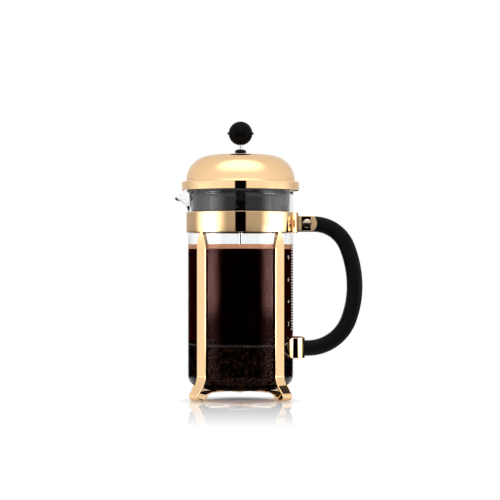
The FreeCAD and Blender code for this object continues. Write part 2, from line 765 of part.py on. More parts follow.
def main():
    """Builds and writes every sub-part."""
    os.makedirs(OUT, exist_ok=True)
    upper = u_strap(-45, 0)
    lower = u_strap(45, STRAP_JOGGLE)
    plate = spiral_plate()
    sub_parts = {
        "glass_beaker": glass_beaker(),
        "strap_upper": upper,
        "strap_lower": lower,
        "base_rivet": base_rivet(),
        "frame_band": frame_band(),
        "handle_bracket": handle_bracket((upper, lower)),
        "handle": handle(),
        "clamp_screw": clamp_screw(),
        "clamp_nut": clamp_nut(),
        "lid_dome": lid_dome(),
        "lid_insert": lid_insert(),
        "rod_bushing": rod_bushing(),
        "bushing_nut": bushing_nut(),
        "plunger_rod": plunger_rod(),
        "knob_upper": knob_upper(),
        "knob_lower": knob_lower(),
        "knob_insert": knob_insert(),
        "rod_nut": rod_nut(),
        "spiral_plate": plate,
        "edge_coil": edge_coil(plate),
        "mesh_filter": mesh_filter(),
        "cross_plate": cross_plate(),
    }
    for name, shape in sub_parts.items():
        export(name, shape)


main()
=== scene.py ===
"""A one-litre french press: glass beaker, plated strap frame, black handle, domed lid and plunger.

Sizes in the classes are in millimetres, in the row frame: the beaker's axis is Z, the feet stand on Z = 0,
the handle points along +X and the pouring spout along -X. Meshes are written in metres.
"""

import json
import logging
import math
from collections.abc import Callable, Sequence
from dataclasses import dataclass
from enum import Enum

import bmesh
import bpy
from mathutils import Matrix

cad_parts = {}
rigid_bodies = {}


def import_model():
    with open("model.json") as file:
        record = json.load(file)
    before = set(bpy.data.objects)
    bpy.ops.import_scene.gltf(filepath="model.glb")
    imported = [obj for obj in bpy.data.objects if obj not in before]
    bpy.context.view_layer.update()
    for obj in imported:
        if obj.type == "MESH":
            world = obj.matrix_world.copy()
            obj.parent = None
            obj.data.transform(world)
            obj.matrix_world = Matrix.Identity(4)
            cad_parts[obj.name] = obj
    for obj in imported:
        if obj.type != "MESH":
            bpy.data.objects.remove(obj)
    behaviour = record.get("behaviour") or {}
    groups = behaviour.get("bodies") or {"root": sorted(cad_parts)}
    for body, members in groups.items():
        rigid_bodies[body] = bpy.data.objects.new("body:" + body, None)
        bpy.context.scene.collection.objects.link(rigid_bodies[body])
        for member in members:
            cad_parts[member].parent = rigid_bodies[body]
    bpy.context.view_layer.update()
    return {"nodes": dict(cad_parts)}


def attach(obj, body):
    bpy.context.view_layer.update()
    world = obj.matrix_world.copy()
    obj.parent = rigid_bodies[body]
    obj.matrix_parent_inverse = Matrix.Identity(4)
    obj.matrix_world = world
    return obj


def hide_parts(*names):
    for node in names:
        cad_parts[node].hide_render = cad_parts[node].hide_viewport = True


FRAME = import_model()

MM = 0.001
Point = tuple[float, float, float]
Flat = tuple[float, float]
Shade = tuple[float, float, float, float]
Box = tuple[float, float, float, float]

log = logging.getLogger("french_press")


class Body(Enum):
    """The moving bodies that pieces ride on."""

    FRAME = "frame"
    BEAKER = "beaker"
    GUIDE = "guide"
    LID = "lid"
    PLUNGER = "plunger"


class Slot(Enum):
    """The record's material slots, listed here; no piece is filed under them."""

    PLATED = "plated_steel"
    GLASS = "glass"
    HANDLE = "handle_plastic"
    LINER = "liner_plastic"
    KNOB = "knob_plastic"
    ROD = "rod_steel"
    FILTER = "filter_steel"


# ---- node trees -------------------------------------------------------------------------------------


class NodeWork:
    """Nodes and links added to one tree."""

    prefix = "ShaderNode"

    def __init__(self, tree: bpy.types.NodeTree) -> None:
        """Takes the tree to work on."""
        self.tree = tree

    def node(self, kind: str, **settings: object) -> bpy.types.Node:
        """Adds a node.

        Args:
            kind: the node's type name after the prefix.
            **settings: node properties to set.

        Returns:
            The new node.
        """
        made = self.tree.nodes.new(self.prefix + kind)
        for key, value in settings.items():
            setattr(made, key, value)
        return made

    def link(self, start: bpy.types.NodeSocket, end: bpy.types.NodeSocket) -> None:
        """Joins an output socket to an input socket."""
        self.tree.links.new(start, end)

    def maths(self, operation: str, *terms: object) -> bpy.types.NodeSocket:
        """One arithmetic step.

        Args:
            operation: the Math node's operation.
            *terms: sockets or numbers, in the node's order.

        Returns:
            The result's socket.
        """
        made = self.tree.nodes.new("ShaderNodeMath")
        made.operation = operation
        for target, term in zip(made.inputs, terms):
            if isinstance(term, bpy.types.NodeSocket):
                self.link(term, target)
            else:
                target.default_value = term
        return made.outputs["Value"]


class ShaderNet(NodeWork):
    """A material's node tree, built a node at a time."""

    def __init__(self, name: str) -> None:
        """Starts an empty material with an output node.

        Args:
            name: the material's name.
        """
        self.material = bpy.data.materials.new(name)
        self.material.use_nodes = True
        super().__init__(self.material.node_tree)
        self.tree.nodes.clear()
        self.output = self.node("OutputMaterial")

    def principled(self, **sockets: object) -> bpy.types.Node:
        """Adds the surface shader.

        Args:
            **sockets: input values by name, with _ for each space.

        Returns:
            The Principled BSDF node, joined to the output.
        """
        shader = self.node("BsdfPrincipled")
        for key, value in sockets.items():
            shader.inputs[key.replace("_", " ")].default_value = value
        self.link(shader.outputs["BSDF"], self.output.inputs["Surface"])
        return shader

    def place(self, scale: Point = (1.0, 1.0, 1.0)) -> bpy.types.NodeSocket:
        """Object coordinates in millimetres, stretched by a scale.

        Args:
            scale: factors along X, Y and Z.

        Returns:
            The vector socket.
        """
        coordinates = self.node("TexCoord")
        mapping = self.node("Mapping")
        mapping.inputs["Scale"].default_value = [s / MM for s in scale]
        self.link(coordinates.outputs["Object"], mapping.inputs["Vector"])
        return mapping.outputs["Vector"]

    def noise(self, place: bpy.types.NodeSocket, scale: float, detail: float = 3.0) -> bpy.types.NodeSocket:
        """A noise value over a place.

        Args:
            place: the coordinates to read.
            scale: features per unit of the coordinates.
            detail: octaves.

        Returns:
            The noise's value socket.
        """
        made = self.node("TexNoise")
        made.inputs["Scale"].default_value = scale
        made.inputs["Detail"].default_value = detail
        self.link(place, made.inputs["Vector"])
        return made.outputs["Fac"]

    def spread(
        self, value: bpy.types.NodeSocket, low: float, high: float, source: Flat = (0.3, 0.7)
    ) -> bpy.types.NodeSocket:
        """Maps a value from a source range onto low..high.

        Args:
            value: what to map.
            low: the result at the source range's start.
            high: the result at its end.
            source: the range that is read.

        Returns:
            The result's socket.
        """
        made = self.node("MapRange")
        ends = {"From Min": source[0], "From Max": source[1], "To Min": low, "To Max": high}
        for name, number in ends.items():
            made.inputs[name].default_value = number
        self.link(value, made.inputs["Value"])
        return made.outputs["Result"]

    def tint(self, value: bpy.types.NodeSocket, low: Shade, high: Shade) -> bpy.types.NodeSocket:
        """Mixes two colours by a value.

        Args:
            value: the share of the second colour.
            low: the first colour.
            high: the second colour.

        Returns:
            The colour's socket.
        """
        made = self.node("Mix", data_type="RGBA")
        colours = [s for s in made.inputs if s.type == "RGBA"]
        colours[0].default_value = low
        colours[1].default_value = high
        self.link(value, made.inputs["Factor"])
        return next(s for s in made.outputs if s.type == "RGBA")

    def bump(
        self, shader: bpy.types.Node, height: bpy.types.NodeSocket, depth_mm: float, strength: float
    ) -> None:
        """Raises a surface shader's normals by a height field.

        Args:
            shader: the shader to change.
            height: the height field.
            depth_mm: the depth that a height of 1 stands for.
            strength: how much of it is used.
        """
        made = self.node("Bump")
        made.inputs["Distance"].default_value = depth_mm * MM
        made.inputs["Strength"].default_value = strength
        self.link(height, made.inputs["Height"])
        self.link(made.outputs["Normal"], shader.inputs["Normal"])

    def length(self, vector: bpy.types.NodeSocket) -> bpy.types.NodeSocket:
        """The length of a vector."""
        made = self.node("VectorMath", operation="LENGTH")
        self.link(vector, made.inputs[0])
        return made.outputs["Value"]

    def mix(
        self, share: bpy.types.NodeSocket, first: bpy.types.NodeSocket, second: bpy.types.NodeSocket
    ) -> bpy.types.NodeSocket:
        """Mixes two shaders.

        Args:
            share: how much of the second is used.
            first: the shader at a share of 0.
            second: the shader at a share of 1.

        Returns:
            The mixed shader's socket.
        """
        made = self.node("MixShader")
        for target, source in zip(made.inputs, (share, first, second)):
            self.link(source, target)
        return made.outputs["Shader"]


def grey(value: float) -> Shade:
    """An opaque neutral colour."""
    return value, value, value, 1.0


# ---- finishes ---------------------------------------------------------------------------------------


@dataclass(frozen=True)
class PlatedSteel:
    """Pale copper-gold plating on polished sheet, with a faint haze and orange peel."""

    name: str = "plated_steel"
    low: Shade = (0.96, 0.64, 0.345, 1.0)
    high: Shade = (1.0, 0.675, 0.37, 1.0)
    polish: Flat = (0.03, 0.06)
    haze_scale: float = 0.05
    peel_scale: float = 0.22
    peel_mm: float = 0.004

    def material(self) -> bpy.types.Material:
        """Builds the plating.

        Returns:
            The finish.
        """
        net = ShaderNet(self.name)
        shader = net.principled(Metallic=1.0)
        place = net.place()
        haze = net.noise(place, self.haze_scale, 4.0)
        net.link(net.tint(haze, self.low, self.high), shader.inputs["Base Color"])
        net.link(net.spread(haze, *self.polish), shader.inputs["Roughness"])
        net.bump(shader, net.noise(place, self.peel_scale, 1.0), self.peel_mm, 0.35)
        return net.material


@dataclass(frozen=True)
class DrawnSteel:
    """Stainless steel with fine lines along one axis."""

    name: str
    shade: float = 0.72
    polish: Flat = (0.10, 0.24)
    lines: Point = (6.0, 6.0, 0.25)
    depth_mm: float = 0.006
    cast: Point = (1.0, 1.0, 1.0)
    line_shade: float = 0.88

    def material(self) -> bpy.types.Material:
        """Builds the drawn steel.

        Returns:
            The finish.
        """
        net = ShaderNet(self.name)
        shader = net.principled(Metallic=1.0)
        grain = net.noise(net.place(self.lines), 1.0, 2.0)
        warm = [self.shade * share for share in self.cast]
        tone = net.tint(grain, (*(self.line_shade * c for c in warm), 1.0), (*warm, 1.0))
        net.link(tone, shader.inputs["Base Color"])
        net.link(net.spread(grain, *self.polish), shader.inputs["Roughness"])
        net.bump(shader, grain, self.depth_mm, 0.4)
        return net.material


@dataclass(frozen=True)
class WovenSteel:
    """Fine steel gauze: wires over and under along X and Y."""

    name: str = "woven_steel"
    pitch_mm: float = 0.5
    gap_shade: float = 0.16
    wire_shade: float = 0.68
    wire_mm: float = 0.15

    def material(self) -> bpy.types.Material:
        """Builds the gauze.

        Returns:
            The finish.
        """
        net = ShaderNet(self.name)
        shader = net.principled(Metallic=1.0, Roughness=0.3)
        turn = 2 * math.pi / self.pitch_mm
        split = net.node("SeparateXYZ")
        net.link(net.place((turn, turn, turn)), split.inputs["Vector"])
        weave = net.maths("MULTIPLY", *(net.maths("SINE", split.outputs[axis]) for axis in ("X", "Y")))
        height = net.spread(weave, 0.0, 1.0, (-1.0, 1.0))
        net.link(net.tint(height, grey(self.gap_shade), grey(self.wire_shade)), shader.inputs["Base Color"])
        net.bump(shader, height, self.wire_mm, 0.8)
        return net.material


@dataclass(frozen=True)
class MouldedBlack:
    """Black moulded plastic with a fine spark-eroded grain."""

    name: str
    tone: float = 0.0045
    gloss: float = 0.07
    roughness: Flat = (0.38, 0.5)
    grain_mm: float = 0.02
    grain_scale: float = 3.5
    wear_scale: float = 0.06

    def material(self) -> bpy.types.Material:
        """Builds the plastic.

        Returns:
            The finish.
        """
        net = ShaderNet(self.name)
        shader = net.principled(Specular_IOR_Level=self.gloss)
        place = net.place()
        handled = net.noise(place, self.wear_scale, 3.0)
        net.link(net.tint(handled, grey(self.tone * 0.75), grey(self.tone)), shader.inputs["Base Color"])
        net.link(net.spread(handled, *self.roughness), shader.inputs["Roughness"])
        net.bump(shader, net.noise(place, self.grain_scale, 2.0), self.grain_mm, 0.5)
        return net.material


@dataclass(frozen=True)
class ClearGlass:
    """Clear borosilicate with a barely seen drawn waviness.

    The gleam tints only what the glass mirrors.
    """

    name: str = "clear_glass"
    ior: float = 1.38
    tint: Shade = (0.985, 0.992, 0.995, 1.0)
    gleam: Shade = (1.0, 1.0, 1.0, 1.0)
    wave_scale: Point = (0.02, 0.02, 0.006)
    wave_mm: float = 0.006

    def material(self) -> bpy.types.Material:
        """Builds the glass.

        Returns:
            The finish.
        """
        net = ShaderNet(self.name)
        shader = net.principled(Base_Color=self.tint, Roughness=0.0, IOR=self.ior, Transmission_Weight=1.0)
        shader.inputs["Specular Tint"].default_value = self.gleam
        net.bump(shader, net.noise(net.place(self.wave_scale), 1.0, 1.0), self.wave_mm, 0.25)
        return net.material


@dataclass(frozen=True)
class BrewedCoffee:
    """Clear dark coffee: it lets a little red-brown through where it is thin."""

    name: str = "brewed_coffee"
    tint: Shade = (0.815, 0.62, 0.47, 1.0)
    density: float = 385.0
    ior: float = 1.0
    cloud: float = 0.97
    cloud_scale: float = 0.03

    def material(self) -> bpy.types.Material:
        """Builds the coffee; its index is the one relative to the glass it stands against.

        Returns:
            The finish.
        """
        net = ShaderNet(self.name)
        bend = net.node("BsdfGlass", distribution="GGX")
        bend.inputs["Roughness"].default_value = 0.0
        bend.inputs["IOR"].default_value = self.ior
        net.link(bend.outputs["BSDF"], net.output.inputs["Surface"])
        clouds = net.noise(net.place(), self.cloud_scale, 2.0)
        net.link(net.tint(clouds, grey(self.cloud), grey(1.0)), bend.inputs["Color"])
        volume = net.node("VolumeAbsorption")
        volume.inputs["Color"].default_value = self.tint
        volume.inputs["Density"].default_value = self.density
        net.link(volume.outputs["Volume"], net.output.inputs["Volume"])
        return net.material


@dataclass(frozen=True)
class CoffeeFoam:
    """Fine tan foam with bubbles of mixed size."""

    name: str = "coffee_foam"
    low: Shade = (0.66, 0.27, 0.12, 1.0)
    high: Shade = (0.86, 0.42, 0.24, 1.0)
    bubble_scale: float = 1.6
    bubble_mm: float = 0.3
    patch_scale: float = 0.35

    def material(self) -> bpy.types.Material:
        """Builds the foam.

        Returns:
            The finish.
        """
        net = ShaderNet(self.name)
        shader = net.principled(Roughness=0.45, Specular_IOR_Level=0.4)
        place = net.place()
        cells = net.node("TexVoronoi")
        cells.inputs["Scale"].default_value = self.bubble_scale
        net.link(place, cells.inputs["Vector"])
        tone = net.tint(net.noise(place, self.patch_scale, 4.0), self.low, self.high)
        net.link(tone, shader.inputs["Base Color"])
        net.bump(shader, cells.outputs["Distance"], self.bubble_mm, 0.6)
        return net.material


@dataclass(frozen=True)
class WetGrounds:
    """Ground coffee settled in the bottom: dark, coarse, with paler flecks."""

    name: str = "wet_grounds"
    wet: Shade = (0.0015, 0.0008, 0.0005, 1.0)
    fleck: Shade = (0.17, 0.075, 0.035, 1.0)
    grain_scale: float = 1.15
    grain_mm: float = 0.4
    patch_scale: float = 0.28

    def material(self) -> bpy.types.Material:
        """Builds the grounds.

        Returns:
            The finish.
        """
        net = ShaderNet(self.name)
        shader = net.principled(Roughness=0.6, Specular_IOR_Level=0.0)
        place = net.place()
        cells = net.node("TexVoronoi", feature="F1")
        cells.inputs["Scale"].default_value = self.grain_scale
        net.link(place, cells.inputs["Vector"])
        ground = net.spread(cells.outputs["Distance"], 1.0, 0.0, (0.12, 0.42))
        patches = net.spread(net.noise(place, self.patch_scale, 3.0), 0.0, 1.0, (0.42, 0.68))
        flecks = net.maths("MULTIPLY", ground, patches)
        net.link(net.tint(flecks, self.wet, self.fleck), shader.inputs["Base Color"])
        net.bump(shader, ground, self.grain_mm, 0.7)
        return net.material


@dataclass(frozen=True)
class FiredMark:
    """Pale fired-on print."""

    name: str = "fired_mark"
    worn: float = 0.82
    fresh: float = 0.95
    wear_scale: float = 1.2

    def material(self) -> bpy.types.Material:
        """Builds the print.

        Returns:
            The finish.
        """
        net = ShaderNet(self.name)
        shader = net.principled(Roughness=0.4)
        wear = net.noise(net.place(), self.wear_scale, 3.0)
        net.link(net.tint(wear, grey(self.worn), grey(self.fresh)), shader.inputs["Base Color"])
        return net.material


# ---- mesh building ----------------------------------------------------------------------------------


class Shell:
    """Points and faces gathered for one mesh, in millimetres."""

    def __init__(self) -> None:
        """Starts with nothing."""
        self.points: list[Point] = []
        self.faces: list[list[int]] = []

    def ring(self, points: Sequence[Point]) -> list[int]:
        """Adds a row of points and returns their indices."""
        start = len(self.points)
        self.points.extend(tuple(p) for p in points)
        return list(range(start, len(self.points)))

    def bridge(self, a: Sequence[int], b: Sequence[int], closed: bool = True) -> None:
        """Joins two rows of the same length with quads.

        Args:
            a: the first row.
            b: the second row.
            closed: whether the rows go all the way round.
        """
        count = len(a)
        for i in range(count if closed else count - 1):
            j = (i + 1) % count
            self.faces.append([a[i], a[j], b[j], b[i]])

    def fan(self, row: Sequence[int], centre: Point) -> None:
        """Closes a row onto a single point."""
        hub = self.ring([centre])[0]
        for i in range(len(row)):
            self.faces.append([row[i], row[(i + 1) % len(row)], hub])

    def piece(self, name: str, material: bpy.types.Material, sharp_deg: float = 32.0) -> bpy.types.Object:
        """Turns what was gathered into a smooth-shaded object at the origin.

        Args:
            name: the object's name.
            material: its finish.
            sharp_deg: edges that turn by more than this stay sharp.

        Returns:
            The new object, linked to the scene.
        """
        mesh = bpy.data.meshes.new(name)
        mesh.from_pydata([[c * MM for c in p] for p in self.points], [], self.faces)
        mesh.validate()
        obj = bpy.data.objects.new(name, mesh)
        bpy.context.scene.collection.objects.link(obj)
        tidy_mesh(obj, sharp_deg)
        mesh.materials.append(material)
        return obj


def tidy_mesh(obj: bpy.types.Object, sharp_deg: float) -> None:
    """Merges doubles, points the faces outwards and shades smooth up to an angle.

    Args:
        obj: the object, changed in place.
        sharp_deg: edges that turn by more than this stay sharp.
    """
    work = bmesh.new()
    work.from_mesh(obj.data)
    bmesh.ops.remove_doubles(work, verts=work.verts, dist=1e-7)
    bmesh.ops.recalc_face_normals(work, faces=work.faces)
    work.to_mesh(obj.data)
    work.free()
    obj.data.shade_smooth()
    obj.data.set_sharp_from_angle(angle=math.radians(sharp_deg))


def around(radius: float, height: float, angles: Sequence[float]) -> list[Point]:
    """A level ring of points about Z."""
    return [(radius * math.cos(a), radius * math.sin(a), height) for a in angles]


def even_turn(steps: int) -> list[float]:
    """Angles evenly round a full turn."""
    return [2 * math.pi * i / steps for i in range(steps)]


def lathe(shell: Shell, profile: Sequence[Flat], steps: int = 128, closed: bool = False) -> None:
    """Turns a (radius, height) profile about Z.

    Args:
        shell: where the faces go.
        profile: the points in order; a radius of 0 makes a pole.
        steps: divisions of the turn.
        closed: whether the last point joins the first.
    """
    angles = even_turn(steps)
    rows = []
    for radius, height in profile:
        rows.append(None if radius < 1e-6 else shell.ring(around(radius, height, angles)))
    pairs = list(zip(range(len(rows) - 1), range(1, len(rows))))
    if closed:
        pairs.append((len(rows) - 1, 0))
    for i, j in pairs:
        if rows[i] is None:
            shell.fan(rows[j], (0, 0, profile[i][1]))
        elif rows[j] is None:
            shell.fan(rows[i], (0, 0, profile[j][1]))
        else:
            shell.bridge(rows[i], rows[j])


def sweep(shell: Shell, rings: Sequence[Sequence[Point]]) -> None:
    """Joins closed cross-sections in order and closes both ends.

    Args:
        shell: where the faces go.
        rings: the cross-sections, each with the same number of points.
    """
    rows = [shell.ring(r) for r in rings]
    for a, b in zip(rows, rows[1:]):
        shell.bridge(a, b)
    for row in (rows[0], rows[-1]):
        centre = [sum(shell.points[i][k] for i in row) / len(row) for k in range(3)]
        shell.fan(row, tuple(centre))


def arc(centre: Flat, radius: float, start_deg: float, stop_deg: float, steps: int) -> list[Flat]:
    """Points along a flat arc, both ends included.

    Args:
        centre: the arc's centre.
        radius: its radius.
        start_deg: the angle of the first point.
        stop_deg: the angle of the last point.
        steps: divisions of the arc.

    Returns:
        The points in order.
    """
    found = []
    for i in range(steps + 1):
        a = math.radians(start_deg + (stop_deg - start_deg) * i / steps)
        found.append((centre[0] + radius * math.cos(a), centre[1] + radius * math.sin(a)))
    return found


def blend_between(table: Sequence[Flat], x: float) -> float:
    """Reads a table of (x, value) rows along straight lines between them.

    Args:
        table: the rows, x rising.
        x: where to read.

    Returns:
        The value, level beyond both ends.
    """
    if x <= table[0][0]:
        return table[0][1]
    for (x0, v0), (x1, v1) in zip(table, table[1:]):
        if x <= x1:
            return v0 + (v1 - v0) * (x - x0) / (x1 - x0)
    return table[-1][1]


class BendPath:
    """A flat line walked as straight runs and tangent bends, the way strip is bent."""

    def __init__(self, u: float, v: float, heading_deg: float) -> None:
        """Starts at a point, facing a heading."""
        self.u, self.v, self.heading = u, v, math.radians(heading_deg)
        self.stations: list[tuple[float, float, float]] = [(u, v, self.heading)]

    def run(self, length: float, steps: int = 1) -> "BendPath":
        """Goes straight ahead, with a station close to each end to keep the run flat.

        Args:
            length: how far to go.
            steps: divisions of the run.

        Returns:
            The same path.
        """
        start_u, start_v = self.u, self.v
        hold = min(0.25, length * 0.2)
        for reach in [hold, *(length * (i + 1) / steps for i in range(steps - 1)), length - hold, length]:
            self.u = start_u + reach * math.cos(self.heading)
            self.v = start_v + reach * math.sin(self.heading)
            self.stations.append((self.u, self.v, self.heading))
        return self

    def bend(self, radius: float, turn_deg: float, step_deg: float = 6.0) -> "BendPath":
        """Turns left (positive) or right about a centre beside the path.

        Args:
            radius: the radius of the bend.
            turn_deg: how far to turn.
            step_deg: the most that one station turns.

        Returns:
            The same path.
        """
        side = 1 if turn_deg > 0 else -1
        centre_u = self.u - side * radius * math.sin(self.heading)
        centre_v = self.v + side * radius * math.cos(self.heading)
        steps = max(2, math.ceil(abs(turn_deg) / step_deg))
        for _ in range(steps):
            self.heading += math.radians(turn_deg) / steps
            self.u = centre_u + side * radius * math.sin(self.heading)
            self.v = centre_v - side * radius * math.cos(self.heading)
            self.stations.append((self.u, self.v, self.heading))
        return self

    def mirrored(self) -> list[tuple[float, float, float]]:
        """The path and its mirror image across u = 0, from one far end to the other."""
        back = [(-u, v, -h) for u, v, h in reversed(self.stations)]
        return back[:-1] + self.stations


def strip_ring(
    centre: Point, across: Point, normal: Point, half_width: Flat, thickness: float, corner: float
) -> list[Point]:
    """A strip's cross-section with rounded edges.

    Args:
        centre: the section's middle.
        across: unit vector along the width.
        normal: unit vector through the thickness.
        half_width: reach along +across and -across.
        thickness: the sheet's thickness.
        corner: radius of the worn edges.

    Returns:
        The section's points in order.
    """
    t = thickness / 2
    corners = (
        (half_width[0] - corner, t - corner, 0),
        (-half_width[1] + corner, t - corner, 90),
        (-half_width[1] + corner, -t + corner, 180),
        (half_width[0] - corner, -t + corner, 270),
    )
    flat: list[Flat] = []
    hold = corner * 0.6
    for w, n, start in corners:
        turn = math.radians(start)
        ease = (hold * math.sin(turn), -hold * math.cos(turn))
        curve = arc((w, n), corner, start, start + 90, 3)
        flat.append((curve[0][0] + ease[0], curve[0][1] + ease[1]))
        flat += curve
        flat.append((curve[-1][0] - hold * math.cos(turn), curve[-1][1] - hold * math.sin(turn)))
    return [tuple(centre[k] + w * across[k] + n * normal[k] for k in range(3)) for w, n in flat]


# ---- geometry nodes ---------------------------------------------------------------------------------


class Recipe(NodeWork):
    """A Geometry Nodes tree with named sizes, turned into a plain mesh when it is used."""

    prefix = ""

    def __init__(self, name: str) -> None:
        """Starts a tree that takes a mesh and gives one back.

        Args:
            name: the tree's name.
        """
        super().__init__(bpy.data.node_groups.new(name, "GeometryNodeTree"))
        face = self.tree.interface
        face.new_socket("Geometry", in_out="INPUT", socket_type="NodeSocketGeometry")
        face.new_socket("Geometry", in_out="OUTPUT", socket_type="NodeSocketGeometry")
        self.ids: dict[str, str] = {}
        self.values: dict[str, float] = {}
        self.start = self.node("NodeGroupInput")
        self.end = self.node("NodeGroupOutput")

    def size(self, name: str, value: float, kind: str = "Float") -> None:
        """Declares a named input and its value."""
        made = self.tree.interface.new_socket(name, in_out="INPUT", socket_type="NodeSocket" + kind)
        self.ids[name] = made.identifier
        self.values[name] = value

    def read(self, name: str) -> bpy.types.NodeSocket:
        """The socket of a named input."""
        return next(s for s in self.start.outputs if s.name == name)

    def feed(self, node: bpy.types.Node, **sources: object) -> bpy.types.Node:
        """Sets or links a node's inputs.

        Args:
            node: the node to feed.
            **sources: a socket to link or a plain value, by input name with _ for each space.

        Returns:
            The same node.
        """
        for key, source in sources.items():
            name = key.replace("_", " ")
            target = next(s for s in node.inputs if s.name == name and s.enabled)
            if isinstance(source, bpy.types.NodeSocket):
                self.link(source, target)
            else:
                target.default_value = source
        return node

    def close(self, geometry: bpy.types.NodeSocket, material: bpy.types.Material, smooth: bool) -> None:
        """Ends the tree: realize, shade, set the material.

        Args:
            geometry: what the tree has made.
            material: its finish.
            smooth: whether its faces are shaded smooth.
        """
        solid = self.feed(self.node("GeometryNodeRealizeInstances"), Geometry=geometry)
        shaded = self.feed(
            self.node("GeometryNodeSetShadeSmooth"), Geometry=solid.outputs["Geometry"], Shade_Smooth=smooth
        )
        dressed = self.feed(
            self.node("GeometryNodeSetMaterial"), Geometry=shaded.outputs["Geometry"], Material=material
        )
        self.link(dressed.outputs["Geometry"], self.end.inputs["Geometry"])

    def bake(self, name: str, base: bpy.types.Mesh | None = None) -> bpy.types.Object:
        """Runs the tree and keeps its result.

        Args:
            name: the new object's name.
            base: the mesh the tree starts from, if it needs one.

        Returns:
            An object whose mesh is the tree's result, with no modifier left.
        """
        carrier = bpy.data.objects.new(name + "_maker", base or bpy.data.meshes.new(name + "_base"))
        bpy.context.scene.collection.objects.link(carrier)
        modifier = carrier.modifiers.new("recipe", "NODES")
        modifier.node_group = self.tree
        for key, identifier in self.ids.items():
            modifier[identifier] = self.values[key]
        graph = bpy.context.evaluated_depsgraph_get()
        mesh = bpy.data.meshes.new_from_object(carrier.evaluated_get(graph), depsgraph=graph)
        carrier.modifiers.clear()
        bpy.data.objects.remove(carrier)
        mesh.name = name
        obj = bpy.data.objects.new(name, mesh)
        bpy.context.scene.collection.objects.link(obj)
        return obj


# ---- fitting pieces to the press --------------------------------------------------------------------


def fit(
    obj: bpy.types.Object, body: Body, instead_of: Sequence[str] = ()
) -> bpy.types.Object:
    """Hangs a piece on its body, logs it, and hides the frame's nodes it is shown in place of.

    Args:
        obj: the finished piece.
        body: the body it rides on.
        instead_of: the frame's own nodes it is shown in place of.

    Returns:
        The same object.
    """
    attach(obj, body.value)
    if instead_of:
        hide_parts(*instead_of)
    log.info("%s rides on %s", obj.name, body.value)
    return obj


def refinish(node: str, material: bpy.types.Material) -> None:
    """Gives a carried-over node a better finish.

    Args:
        node: the frame's node.
        material: its new finish.
    """
    mesh = FRAME["nodes"][node].data
    mesh.materials.clear()
    mesh.materials.append(material)
    log.info("%s refinished as %s", node, material.name)


# ---- beaker -----------------------------------------------------------------------------------------


